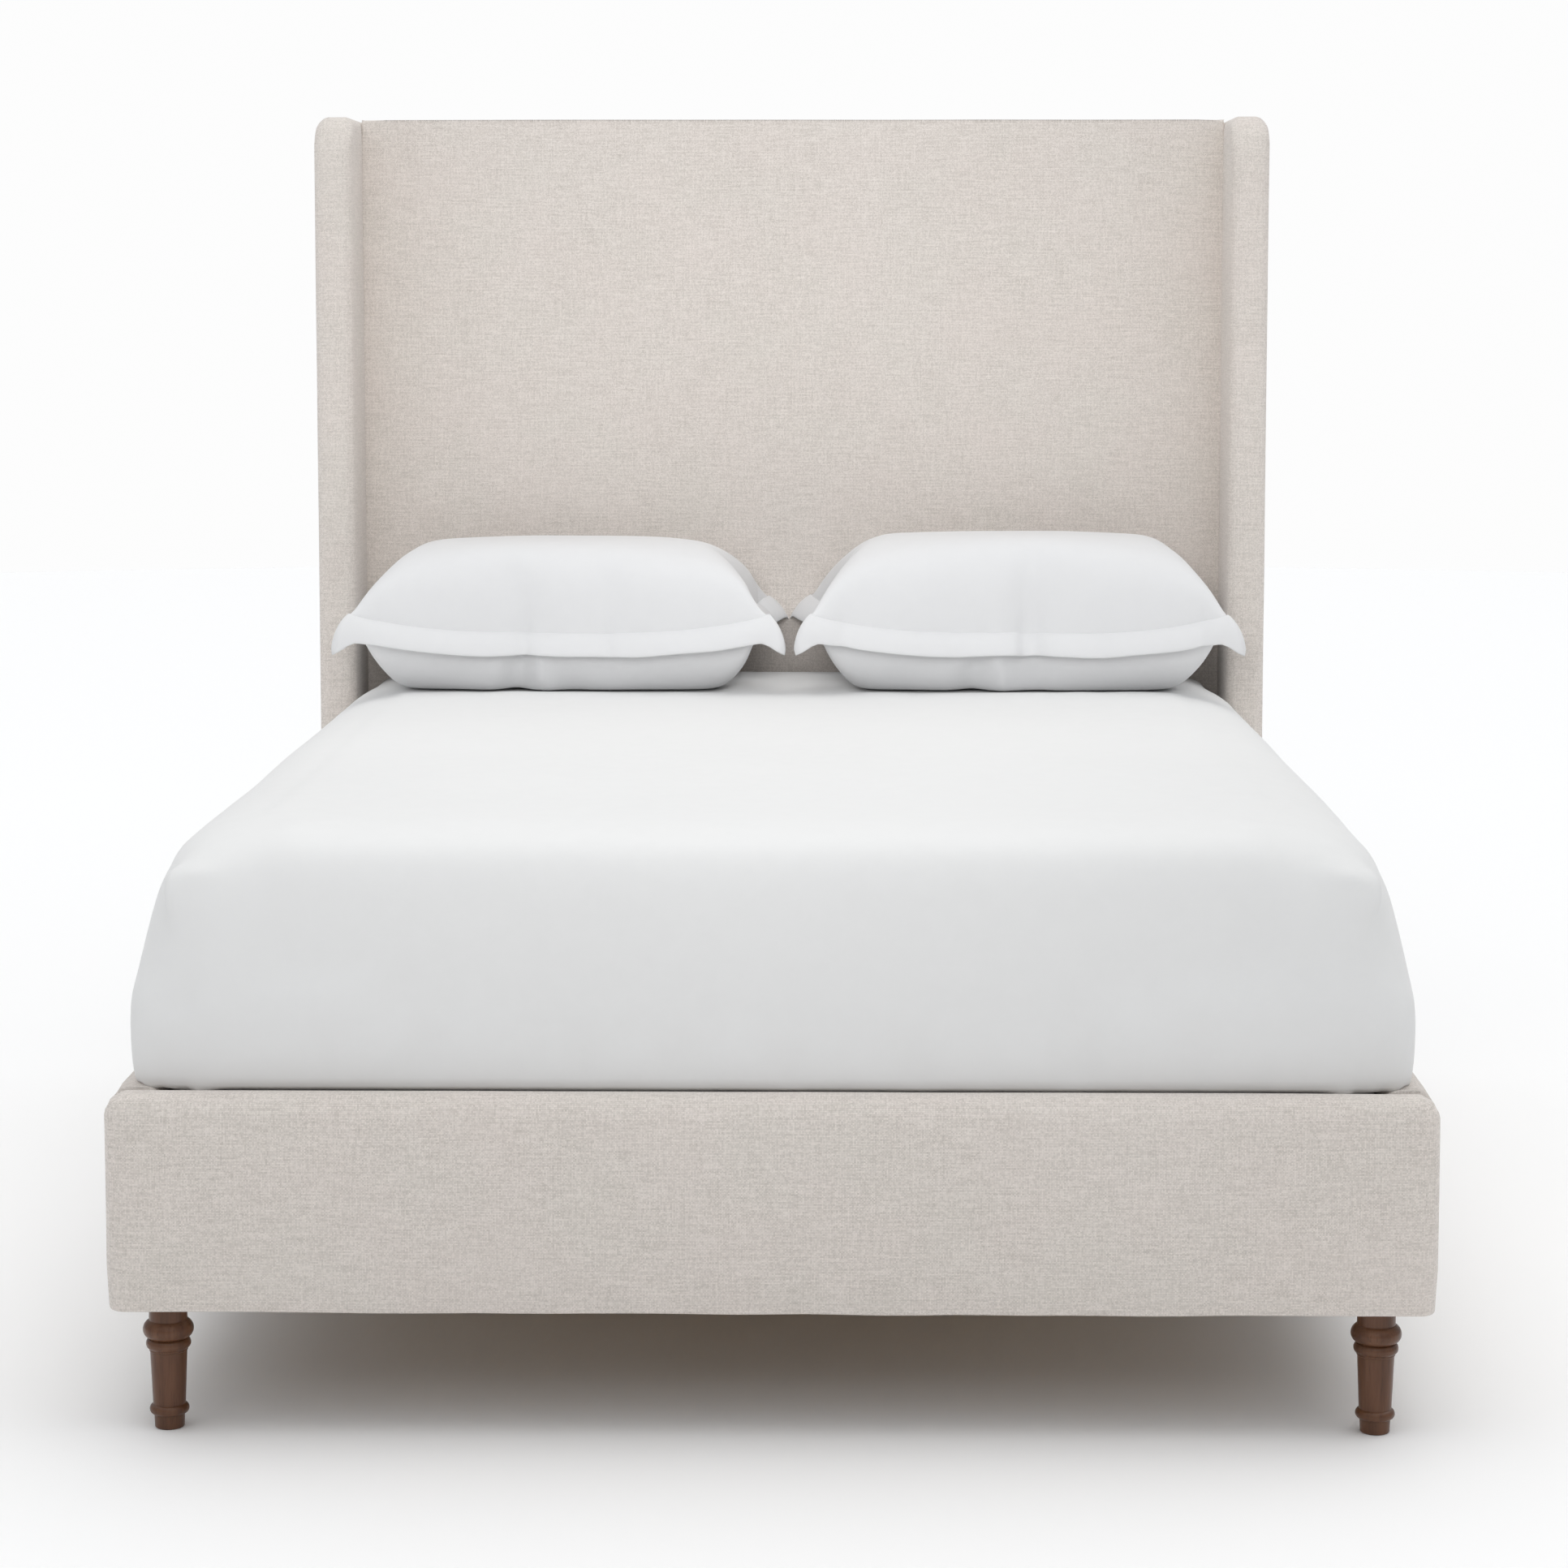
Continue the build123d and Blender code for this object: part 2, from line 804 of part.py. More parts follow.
def add_beam_hanger(wall, into):
    """A folded steel stirrup on a wall: back plate, shelf and two cheeks."""
    inside = beam_width / 2 + hanger_play
    outside = inside + hanger_steel
    shelf = beam_bottom - hanger_steel
    plate = wall + into * hanger_steel
    front = wall + into * hanger_depth
    span((-outside, min(wall, plate), shelf), (outside, max(wall, plate), slat_bottom))
    span((-outside, min(wall, front), shelf), (outside, max(wall, front), beam_bottom))
    for cheek in (-1, 1):
        x_low, x_high = sorted((cheek * inside, cheek * outside))
        span((x_low, min(wall, front), shelf), (x_high, max(wall, front), shelf + hanger_rise))


def make_middle_legs():
    reach = bay_length * middle_leg_spread / 2
    centre = (bay_foot_y + bay_head_y) / 2
    half = middle_leg_width / 2
    for place, y in (("foot", centre - reach), ("head", centre + reach)):
        with BuildPart() as leg:
            span((-half, y - half, middle_leg_bottom), (half, y + half, beam_bottom))
            chamfer(leg.edges().filter_by(Axis.Z), length=slat_edge)
            rod(
                (0, y, middle_leg_bottom),
                (0, 0, 1),
                stud_radius + stud_play,
                stud_top + stud_bore_spare - middle_leg_bottom,
                Mode.SUBTRACT,
            )
        save(leg, f"middle_leg_{place}")

        with BuildPart() as foot:
            rod((0, y, 0), (0, 0, 1), pad_radius, pad_height)
            rim = foot.edges().filter_by(GeomType.CIRCLE).sort_by(Axis.Z)[-1]
            chamfer(rim, length=pad_height / 3)
            with BuildSketch(Plane(origin=(0, y, pad_height))):
                RegularPolygon(nut_flats / 2, 6, major_radius=False)
            extrude(amount=nut_height)
            rod((0, y, pad_height), (0, 0, 1), stud_radius, stud_top - pad_height)
        save(foot, f"levelling_foot_{place}")


# --- Mattress and bedding --------------------------------------------------------
def mattress_block(grow=0.0):
    """The mattress's outer block, or the same grown by what lies over it."""
    low = (-mattress_width / 2 - grow, mattress_foot_y - grow, mattress_bottom)
    high = (mattress_width / 2 + grow, mattress_head_y + grow, mattress_top + grow)
    return low, high


def mattress_form(grow=0.0):
    """The mattress's outer shape, or the same grown by what lies over it."""
    return soft_box(*mattress_block(grow), mattress_corner + grow, mattress_edge + grow)


def core_form(low, high):
    """A block with the mattress's upright corners and square edges."""
    with BuildPart() as form:
        span(low, high)
        fillet(form.edges().filter_by(Axis.Z), radius=mattress_corner - mattress_wall)
    return form


def make_mattress():
    whole = mattress_form()
    seam = mattress_top - quilt_height
    low, high = mattress_block()
    hollow_low = (low[0] + mattress_wall, low[1] + mattress_wall, low[2] + mattress_floor)
    hollow_high = (high[0] - mattress_wall, high[1] - mattress_wall, seam)
    hollow = core_form(hollow_low, hollow_high)

    with BuildPart() as border:
        add(whole.part)
        span((low[0], low[1], seam), high, mode=Mode.SUBTRACT)
        add(hollow.part, mode=Mode.SUBTRACT)
    save(border, "mattress_border")

    core_low = tuple(v + core_play for v in hollow_low)
    core_high = tuple(v - core_play for v in hollow_high)
    save(core_form(core_low, core_high), "mattress_core")

    with BuildPart() as quilt:
        add(whole.part)
        span(low, (high[0], high[1], seam), mode=Mode.SUBTRACT)
    save(quilt, "mattress_quilted_top")


def make_fitted_sheet():
    skin = mattress_form(sheet)
    whole = mattress_form()
    with BuildPart() as fitted:
        add(skin.part)
        add(whole.part, mode=Mode.SUBTRACT)
    save(fitted, "fitted_sheet")


def make_duvet():
    under = sheet + bedding_play
    room = mattress_form(under)
    side_x = mattress_width / 2 + under + duvet_side_loft
    front_y = bay_foot_y - duvet_foot_reach
    between_wings = inner_x - duvet_wing_gap
    with BuildPart() as duvet:
        span(
            (-side_x, front_y, frame_top + duvet_rest_gap),
            (side_x, duvet_head_y, duvet_top),
        )
        fillet(duvet.edges().filter_by(Axis.Z).group_by(Axis.Y)[0], radius=duvet_corner)
        rim = duvet.faces().sort_by(Axis.Z)[-1].edges()
        fillet(rim.filter_by(lambda e: e.center().Y < duvet_head_y - 1), radius=duvet_edge)
        for _, side in SIDES:
            notch_low = (between_wings, wing_y - duvet_wing_gap, frame_top)
            notch_high = (side_x + duvet_wing_gap, duvet_head_y, duvet_top)
            span(*sided(side, notch_low, notch_high), mode=Mode.SUBTRACT)
        add(room.part, mode=Mode.SUBTRACT)
    save(duvet, "duvet")


# --- Pillows ---------------------------------------------------------------------
sham_skin = sham_cloth + sham_play
pillow_bottom = duvet_top + pillow_rest_gap + sham_skin
sham_back_y = bay_head_y - pillow_head_gap
pillow_back_y = sham_back_y - flange_head_reach
pillow_front_y = pillow_back_y - pillow_depth
sham_front_y = pillow_front_y - flange_reach


def pillow_form(x, grow):
    """A pillow's plump block, or the same grown by a skin's thickness."""
    half = pillow_width / 2
    with BuildPart() as form:
        span(
            (x - half - grow, pillow_front_y - grow, pillow_bottom - grow),
            (x + half + grow, pillow_back_y + grow, pillow_bottom + pillow_loft + grow),
        )
        fillet(form.edges(), radius=pillow_round + grow)
    return form


def make_pillow(hand, side):
    x = side * pillow_spread
    half = pillow_width / 2 + flange_reach
    middle_y = (sham_front_y + sham_back_y) / 2
    seam = pillow_bottom + pillow_below_seam
    save(pillow_form(x, 0), f"{hand}_pillow")

    skin = pillow_form(x, sham_skin)
    room = pillow_form(x, sham_play)
    with BuildPart() as sham:
        with BuildSketch(Plane.XY.offset(seam - flange_thickness / 2)):
            with Locations((x, middle_y)):
                RectangleRounded(2 * half, sham_back_y - sham_front_y, flange_corner)
        extrude(amount=flange_thickness)
        add(skin.part)
        add(room.part, mode=Mode.SUBTRACT)
        span(
            (x - sham_slit / 2, pillow_front_y + sham_slit_inset, pillow_bottom - sham_skin),
            (x + sham_slit / 2, pillow_back_y - sham_slit_inset, pillow_bottom),
            mode=Mode.SUBTRACT,
        )
    save(sham, f"{hand}_sham")


# --- Build -----------------------------------------------------------------------
os.makedirs("parts", exist_ok=True)
make_footboard()
make_panel_frame()
make_panel_cover()
for hand_name, side_sign in SIDES:
    make_side_rail(hand_name, side_sign)
    make_ledge(hand_name, side_sign)
    make_wing(hand_name, side_sign)
    make_pillow(hand_name, side_sign)
make_legs()
make_brackets()
make_slats()
make_base_screws()
make_middle_beam()
make_middle_legs()
make_mattress()
make_fitted_sheet()
make_duvet()
print(f"overall {2 * outer_x:.0f} x {overall_length:.0f} x {headboard_top:.0f} mm")
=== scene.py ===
import json
import math

import bmesh
import bpy
from mathutils import Matrix, Vector, noise


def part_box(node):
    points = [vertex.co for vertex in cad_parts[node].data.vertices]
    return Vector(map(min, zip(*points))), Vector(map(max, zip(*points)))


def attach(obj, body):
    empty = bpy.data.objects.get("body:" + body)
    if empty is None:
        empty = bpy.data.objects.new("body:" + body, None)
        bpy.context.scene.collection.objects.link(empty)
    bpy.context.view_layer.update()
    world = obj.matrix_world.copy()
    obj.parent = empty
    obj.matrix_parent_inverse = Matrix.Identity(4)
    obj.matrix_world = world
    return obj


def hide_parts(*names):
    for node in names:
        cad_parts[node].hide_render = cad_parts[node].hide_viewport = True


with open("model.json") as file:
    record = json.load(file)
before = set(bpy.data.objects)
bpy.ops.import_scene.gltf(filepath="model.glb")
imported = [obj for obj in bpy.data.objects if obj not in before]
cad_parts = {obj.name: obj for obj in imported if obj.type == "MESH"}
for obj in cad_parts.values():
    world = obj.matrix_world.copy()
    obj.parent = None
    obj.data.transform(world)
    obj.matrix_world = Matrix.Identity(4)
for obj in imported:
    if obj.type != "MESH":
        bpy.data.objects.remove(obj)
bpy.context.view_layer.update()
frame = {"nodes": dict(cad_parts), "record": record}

print("frame loaded,", len(frame["nodes"]), "nodes")


# shader helpers
class Wire:
    # a socket that can be written in sums, so that 1 - mask adds its own Math node
    def __init__(self, look, socket):
        self.look, self.socket = look, socket

    def maths(self, operation, a, b=0.0):
        return self.look.add("ShaderNodeMath", {"operation": operation}, {0: a, 1: b})

    def __add__(self, other):
        return self.maths("ADD", self, other)

    def __sub__(self, other):
        return self.maths("SUBTRACT", self, other)

    def __rsub__(self, other):
        return self.maths("SUBTRACT", other, self)

    def __mul__(self, other):
        return self.maths("MULTIPLY", self, other)

    def __truediv__(self, other):
        return self.maths("DIVIDE", self, other)

    def __mod__(self, other):
        return self.maths("FLOORED_MODULO", self, other)

    def __pow__(self, other):
        return self.maths("POWER", self, other)

    def __abs__(self):
        return self.maths("ABSOLUTE", self)

    def floor(self):
        return self.maths("FLOOR", self)

    def fract(self):
        return self.maths("FRACT", self)


class Look:
    # one material, with its Principled shader ready
    def __init__(self, name, **fixed):
        self.material = bpy.data.materials.new(name)
        self.material.use_nodes = True
        self.tree = self.material.node_tree
        self.shader = self.tree.nodes["Principled BSDF"]
        for socket, value in fixed.items():
            self.shader.inputs[socket.replace("_", " ")].default_value = value

    def add(self, kind, settings, inputs, output=0):
        node = self.tree.nodes.new(kind)
        for key, value in settings.items():
            if key == "stops":
                self.setStops(node.color_ramp, value)
            else:
                setattr(node, key, value)
        for key, value in inputs.items():
            if isinstance(value, Wire):
                self.tree.links.new(value.socket, node.inputs[key])
            else:
                node.inputs[key].default_value = value
        return Wire(self, node.outputs[output])

    def setStops(self, ramp, stops):
        while len(ramp.elements) < len(stops):
            ramp.elements.new(0.5)
        for element, (place, colour) in zip(ramp.elements, stops):
            element.position = place
            element.color = (*colour, 1.0)

    def feed(self, socket, wire):
        self.tree.links.new(wire.socket, self.shader.inputs[socket])

    def places(self, uv=False):
        if uv:
            return self.add("ShaderNodeUVMap", {"uv_map": "cloth"}, {})
        return self.add("ShaderNodeTexCoord", {}, {}, output="Object")

    def parts(self, vector):
        return [self.add("ShaderNodeSeparateXYZ", {}, {0: vector}, output=axis) for axis in "XYZ"]

    def vector(self, x, y, z=0.0):
        return self.add("ShaderNodeCombineXYZ", {}, {0: x, 1: y, 2: z})

    def noise(self, vector, scale, detail=2.0, rough=0.5):
        inputs = {"Vector": vector, "Scale": scale, "Detail": detail, "Roughness": rough}
        return self.add("ShaderNodeTexNoise", {"noise_dimensions": "3D"}, inputs)

    def random(self, vector):
        return self.add("ShaderNodeTexWhiteNoise", {"noise_dimensions": "3D"}, {"Vector": vector})

    def waves(self, value, pitch):
        return self.add("ShaderNodeMath", {"operation": "SINE"}, {0: value * (2 * math.pi / pitch)})

    def ramp(self, factor, stops):
        return self.add("ShaderNodeValToRGB", {"stops": stops}, {0: factor})

    def span(self, wire, low, high, outLow=0.0, outHigh=1.0):
        return self.add("ShaderNodeMapRange", {}, {0: wire, 1: low, 2: high, 3: outLow, 4: outHigh})

    def mix(self, factor, a, b):
        colours = {6: a if isinstance(a, Wire) else (*a, 1.0), 7: b if isinstance(b, Wire) else (*b, 1.0)}
        return self.add("ShaderNodeMix", {"data_type": "RGBA"}, {0: factor, **colours}, output=2)

    def bump(self, height, strength, distance, normal=None):
        inputs = {"Height": height, "Strength": strength, "Distance": distance}
        if normal:
            inputs["Normal"] = normal
        return self.add("ShaderNodeBump", {}, inputs)


# materials
def makeLinen():
    cloth = dict(thread=0.0020, light=(0.862, 0.797, 0.745), dark=(0.51, 0.462, 0.415),
                 pink=(0.79, 0.70, 0.655), green=(0.72, 0.695, 0.63), faded=(0.88, 0.83, 0.79),
                 slubLength=0.055, slubWidth=0.0030)
    look = Look("linenUpholstery", Roughness=0.88, Sheen_Weight=0.25, Sheen_Roughness=0.45)
    u, v, _ = look.parts(look.places(uv=True))
    across, up = u / cloth["thread"], v / cloth["thread"]
    warpRound = 1 - abs(across.fract() * 2 - 1) ** 2.0
    weftRound = 1 - abs(up.fract() * 2 - 1) ** 2.0
    over = (across.floor() + up.floor()) % 2.0
    height = over * warpRound + (1 - over) * weftRound
    weftTone = look.noise(look.vector(u / cloth["slubLength"], v / cloth["slubWidth"]), 1.0, 3.0, 0.6)
    warpTone = look.noise(look.vector(u / cloth["slubWidth"], v / cloth["slubLength"], 4.0), 1.0, 3.0, 0.6)
    tone = over * warpTone + (1 - over) * weftTone
    fleck = look.random(look.vector(across.floor(), up.floor()))
    drift = look.noise(look.vector(u, v, 2.0), 3.5, 3.0)
    hue = look.noise(look.vector(u, v, 9.0), 7.0, 2.0)
    # the thread height term lightens each thread's crown and darkens the gaps between threads: painted shade
    # in the weave; tone, fleck and weft tone are the yarn's own colour
    shadeValue = look.span(tone * 0.52 + fleck * 0.22 + weftTone * 0.18 + height * 0.22, 0.32, 0.79)
    colour = look.mix(shadeValue, cloth["dark"], cloth["light"])
    colour = look.mix(look.span(hue, 0.45, 0.7) * 0.18, colour, cloth["pink"])
    colour = look.mix(look.span(hue, 0.52, 0.3) * 0.14, colour, cloth["green"])
    colour = look.mix(look.span(drift, 0.3, 0.7, 0.0, 0.10), colour, cloth["faded"])
    look.feed("Base Color", colour)
    relief = height * 0.7 + weftTone * 0.6 + fleck * 0.15
    look.feed("Normal", look.bump(relief, 0.55, 0.0006))
    return look.material


def makeCotton(name, colour, weave=0.0009, crease=0.0035, creaseScale=2.6):
    look = Look(name, Roughness=0.82, Sheen_Weight=0.15, Sheen_Roughness=0.4)
    place = look.places()
    x, y, z = look.parts(place)
    soft = look.noise(place, 1.6, 3.0, 0.45)
    faint = look.noise(place, 38.0, 4.0, 0.6)
    tint = look.mix(look.span(soft, 0.3, 0.7), tuple(c * 0.975 for c in colour), colour)
    tint = look.mix(look.span(faint, 0.35, 0.65) * 0.25, tint, tuple(min(1.0, c * 1.03) for c in colour))
    look.feed("Base Color", tint)
    threads = look.waves(x + z * 0.61, weave) * look.waves(y + z * 0.79, weave)
    folds = look.noise(place, creaseScale, 4.0, 0.42)
    first = look.bump(folds, 0.35, crease)
    look.feed("Normal", look.bump(threads * 0.5 + faint * 0.5, 0.10, 0.0004, first))
    return look.material


def makeWalnut():
    wood = dict(early=(0.066, 0.026, 0.011), middle=(0.115, 0.047, 0.021), late=(0.165, 0.073, 0.035),
                pore=(0.035, 0.016, 0.010), grainWidth=60, grainLength=5, poreWidth=420, poreLength=22)
    look = Look("walnutTurning", Specular_IOR_Level=0.32, Coat_Weight=0.18, Coat_Roughness=0.10)
    x, y, z = look.parts(look.places())
    wide, fine = wood["grainWidth"], wood["poreWidth"]
    grain = look.noise(look.vector(x * wide, y * wide, z * wood["grainLength"]), 1.0, 6.0, 0.62)
    pores = look.noise(look.vector(x * fine, y * fine, z * wood["poreLength"]), 1.0, 3.0, 0.6)
    colour = look.ramp(grain, [(0.28, wood["early"]), (0.5, wood["middle"]), (0.72, wood["late"])])
    colour = look.mix(look.span(pores, 0.58, 0.72) * 0.5, colour, wood["pore"])
    look.feed("Base Color", colour)
    look.feed("Roughness", look.span(pores, 0.3, 0.7, 0.28, 0.44))
    look.feed("Normal", look.bump(pores, 0.12, 0.0003))
    return look.material


def makeTimber(name, along, light, dark):
    look = Look(name)
    axes = look.parts(look.places())
    stretched = [axis * (1.6 if i == along else 26.0) for i, axis in enumerate(axes)]
    grain = look.noise(look.vector(*stretched), 1.0, 5.0, 0.6)
    rings = look.add("ShaderNodeMath", {"operation": "SINE"}, {0: grain * 34.0})
    knots = look.noise(look.vector(*[axis * 5.5 for axis in axes]), 1.0, 2.0)
    colour = look.mix(look.span(rings, -1.0, 1.0), light, dark)
    colour = look.mix(look.span(knots, 0.68, 0.78) * 0.6, colour, tuple(c * 0.42 for c in dark))
    look.feed("Base Color", colour)
    look.feed("Roughness", look.span(grain, 0.3, 0.7, 0.55, 0.74))
    look.feed("Normal", look.bump(rings * 0.5 + grain, 0.2, 0.0005))
    return look.material


def makeZinc():
    look = Look("zincPlate", Metallic=1.0)
    place = look.places()
    cloud = look.noise(place, 90.0, 4.0, 0.6)
    look.feed("Base Color", look.ramp(cloud, [(0.3, (0.42, 0.42, 0.40)), (0.7, (0.66, 0.65, 0.60))]))
    look.feed("Roughness", look.span(cloud, 0.3, 0.7, 0.26, 0.48))
    return look.material


def makePowderCoat():
    look = Look("blackPowderCoat", Specular_IOR_Level=0.5)
    place = look.places()
    peel = look.noise(place, 900.0, 2.0)
    dust = look.noise(place, 14.0, 4.0)
    colour = look.mix(look.span(dust, 0.4, 0.7), (0.016, 0.016, 0.018), (0.032, 0.031, 0.030))
    look.feed("Base Color", colour)
    look.feed("Roughness", look.span(dust, 0.3, 0.7, 0.42, 0.6))
    look.feed("Normal", look.bump(peel, 0.25, 0.0004))
    return look.material


def makeDustCloth():
    look = Look("blackDustCloth", Roughness=0.93)
    place = look.places()
    x, y, z = look.parts(place)
    fibres = look.noise(look.vector(x * 300, y * 300, z * 120), 1.0, 4.0, 0.7)
    patch = look.noise(place, 4.0, 3.0)
    dimples = look.waves(x + z, 0.006) * look.waves(x - z, 0.006)
    shadeValue = look.span(fibres * 0.7 + patch * 0.3, 0.3, 0.7)
    look.feed("Base Color", look.mix(shadeValue, (0.016, 0.016, 0.017), (0.045, 0.044, 0.043)))
    look.feed("Normal", look.bump(dimples * 0.6 + fibres, 0.3, 0.0005))
    return look.material


def makeTicking(name, colour, quilt):
    look = Look(name, Roughness=0.86, Sheen_Weight=0.2)
    place = look.places()
    x, y, z = look.parts(place)
    quiltRelief = look.waves(x + y, quilt) * look.waves(x - y + z, quilt)
    knit = look.noise(place, 700.0, 2.0)
    shadeValue = look.span(quiltRelief, -1.0, 1.0)
    # the colour darkens where the quilt relief sinks, in the same places the bump lowers: painted shade in
    # the hollows; the knit noise is the cloth's own tone
    look.feed("Base Color", look.mix(shadeValue * 0.5 + knit * 0.3, tuple(c * 0.9 for c in colour), colour))
    look.feed("Normal", look.bump(shadeValue * 0.8 + knit * 0.1, 0.6, 0.003))
    return look.material


looks = {
    "linen_upholstery": makeLinen(),
    "duvet_cotton": makeCotton("duvetCotton", (0.80, 0.80, 0.795)),
    "sham_cotton": makeCotton("shamCotton", (0.785, 0.785, 0.79), crease=0.0025, creaseScale=5.0),
    "sheet_cotton": makeCotton("sheetCotton", (0.80, 0.80, 0.795), crease=0.004, creaseScale=4.5),
    "walnut_legs": makeWalnut(),
    "slat_timber": makeTimber("planedSlat", 0, (0.62, 0.44, 0.25), (0.50, 0.32, 0.16)),
    "frame_timber": makeTimber("sawnPine", 1, (0.56, 0.39, 0.22), (0.42, 0.27, 0.14)),
    "plywood": makeTimber("plywoodFace", 2, (0.58, 0.42, 0.26), (0.47, 0.32, 0.18)),
    "zinc_steel": makeZinc(),
    "black_steel": makePowderCoat(),
    "dust_cloth": makeDustCloth(),
    "mattress_border": makeTicking("borderKnit", (0.76, 0.76, 0.75), 0.03),
    "mattress_quilt": makeTicking("quiltedKnit", (0.80, 0.80, 0.79), 0.09),
    "mattress_core": makeTicking("coreFoam", (0.78, 0.75, 0.62), 0.004),
    "pillow_ticking": makeTicking("pillowTicking", (0.8, 0.8, 0.8), 0.006),
    "upholstery_foam": makeTicking("paddingFoam", (0.78, 0.74, 0.58), 0.005),
}
print("materials made,", len(looks))

for row in frame["record"]["subparts"]:
    cadNode = frame["nodes"][row["node"]]
    cadNode.data.materials.clear()
    cadNode.data.materials.append(looks[row["material_slot"]])


# mesh helpers
touching = 1e-5   # points closer than this are in one place


def smoothStep(t):
    t = min(1.0, max(0.0, t))
    return t * t * (3 - 2 * t)


def finishPiece(bm, name, body, slotName, smooth=True):
    mesh = bpy.data.meshes.new(name)
    bmesh.ops.recalc_face_normals(bm, faces=bm.faces)
    bm.to_mesh(mesh)
    bm.free()
    mesh.materials.append(looks[slotName])
    if smooth:
        mesh.shade_smooth()
    else:
        mesh.shade_flat()
    piece = bpy.data.objects.new(name, mesh)
    bpy.context.scene.collection.objects.link(piece)
    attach(piece, body)
    return piece


def blockBetween(low, high):
    bm = bmesh.new()
    bmesh.ops.create_cube(bm, size=1.0)
    bmesh.ops.scale(bm, vec=high - low, verts=bm.verts)
    bmesh.ops.translate(bm, vec=(low + high) / 2, verts=bm.verts)
    return bm


def roundEdges(bm, chosen, radius, segments=5):
    bmesh.ops.bevel(bm, geom=[e for e in bm.edges if chosen(e)], offset=radius, offset_type="OFFSET",
                    segments=segments, profile=0.5, affect="EDGES", material=-1, clamp_overlap=True)


def cutAcross(bm, axis, at):
    place, normal = [0, 0, 0], [0, 0, 0]
    place[axis], normal[axis] = at, 1
    bmesh.ops.bisect_plane(bm, geom=bm.verts[:] + bm.edges[:] + bm.faces[:],
                           plane_co=place, plane_no=normal, dist=touching)


def gridCuts(bm, step, low, high):
    # even cuts along each axis, so that the padding has points to swell with
    for axis in range(3):
        count = int((high[axis] - low[axis]) / step)
        for number in range(1, count):
            cutAcross(bm, axis, low[axis] + (high[axis] - low[axis]) * number / count)


def smoothPoints(bm, points, rounds):
    for _ in range(rounds):
        bmesh.ops.smooth_vert(bm, verts=points, factor=0.5,
                              use_axis_x=True, use_axis_y=True, use_axis_z=True)


def wrapCloth(bm, low, high, backShift=3.1):
    # lays the weave round the block, one cloth over front, top and sides, and another part of it behind
    layer = bm.loops.layers.uv.new("cloth")
    for face in bm.faces:
        n = face.normal
        reach = [abs(n.x), abs(n.y), abs(n.z)]
        facing = reach.index(max(reach))
        for loop in face.loops:
            p = loop.vert.co
            deep = p.y - low.y
            if facing == 0:
                loop[layer].uv = (high.x + deep if n.x > 0 else low.x - deep, p.z)
            elif facing == 1:
                loop[layer].uv = (p.x, p.z) if n.y < 0 else (backShift - p.x, p.z)
            else:
                loop[layer].uv = (p.x, high.z + deep if n.z > 0 else low.z - deep)


def swell(bm, low, high, amount, wave, seed, waveSize=0.22, edgeFade=0.025):
    # padding stands proud in the middle of each face and ripples a little under the cloth
    for vert in bm.verts:
        p = vert.co
        n = vert.normal
        crown = 1.0
        for axis in range(3):
            size = high[axis] - low[axis]
            if abs(n[axis]) < 0.6:
                t = min(1.0, max(0.0, (p[axis] - low[axis]) / size))
                crown *= smoothStep(min(t, 1 - t) * size / edgeFade)
        wobble = noise.noise(p / waveSize + Vector((seed, 0, 0)))
        p += n * (amount * crown + wave * (0.5 + 0.5 * wobble) * crown)


# upholstered frame
padding = dict(step=0.045, backFlat=0.0002, swell=0.0025, wave=0.0015, hem=0.004, rail=0.018, footTop=0.027,
               footCorner=0.024, panelTop=0.022, panelSide=0.007, frontBand=0.01, wingRim=0.015,
               pull=0.0016, pullHeight=0.05, pullWaves=9)


def upright(edge):
    a, b = (v.co for v in edge.verts)
    return abs(a.x - b.x) < touching and abs(a.y - b.y) < touching


def flatAt(edge, z):
    return all(abs(v.co.z - z) < touching for v in edge.verts)


def headToFoot(edge):
    return abs(edge.verts[0].co.x - edge.verts[1].co.x) < touching


def makeFootboard():
    low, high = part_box("footboard_cover")
    bm = blockBetween(low, high)
    roundEdges(bm, upright, padding["footCorner"], 6)
    roundEdges(bm, lambda e: flatAt(e, high.z), padding["footTop"], 6)
    roundEdges(bm, lambda e: flatAt(e, low.z), padding["hem"], 3)
    gridCuts(bm, padding["step"], low, high)
    bm.normal_update()
    wrapCloth(bm, low, high)
    swell(bm, low, high, padding["swell"], padding["wave"], 1.0)
    for vert in bm.verts:   # the stapled hem pulls the lower edge a little up and down
        near = max(0.0, 1 - (vert.co.z - low.z) / padding["pullHeight"])
        unevenness = noise.noise(Vector((vert.co.x * padding["pullWaves"], 0.3, 0)))
        vert.co.z += padding["pull"] * near * unevenness
    piece = finishPiece(bm, "footboardUpholstery", "frame", "linen_upholstery")
    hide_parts("footboard_cover", "footboard_foam")


def makeRail(hand, seed):
    low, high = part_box(f"{hand}_rail_cover")
    bm = blockBetween(low, high)
    roundEdges(bm, lambda e: flatAt(e, high.z) and headToFoot(e), padding["rail"], 6)
    roundEdges(bm, lambda e: flatAt(e, low.z) and headToFoot(e), padding["hem"], 3)
    gridCuts(bm, padding["step"], low, high)
    bm.normal_update()
    wrapCloth(bm, low, high)
    swell(bm, low, high, padding["swell"] * 0.6, padding["wave"], seed)
    piece = finishPiece(bm, f"{hand}RailUpholstery", "frame", "linen_upholstery")
    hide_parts(f"{hand}_rail_cover", f"{hand}_rail_foam")


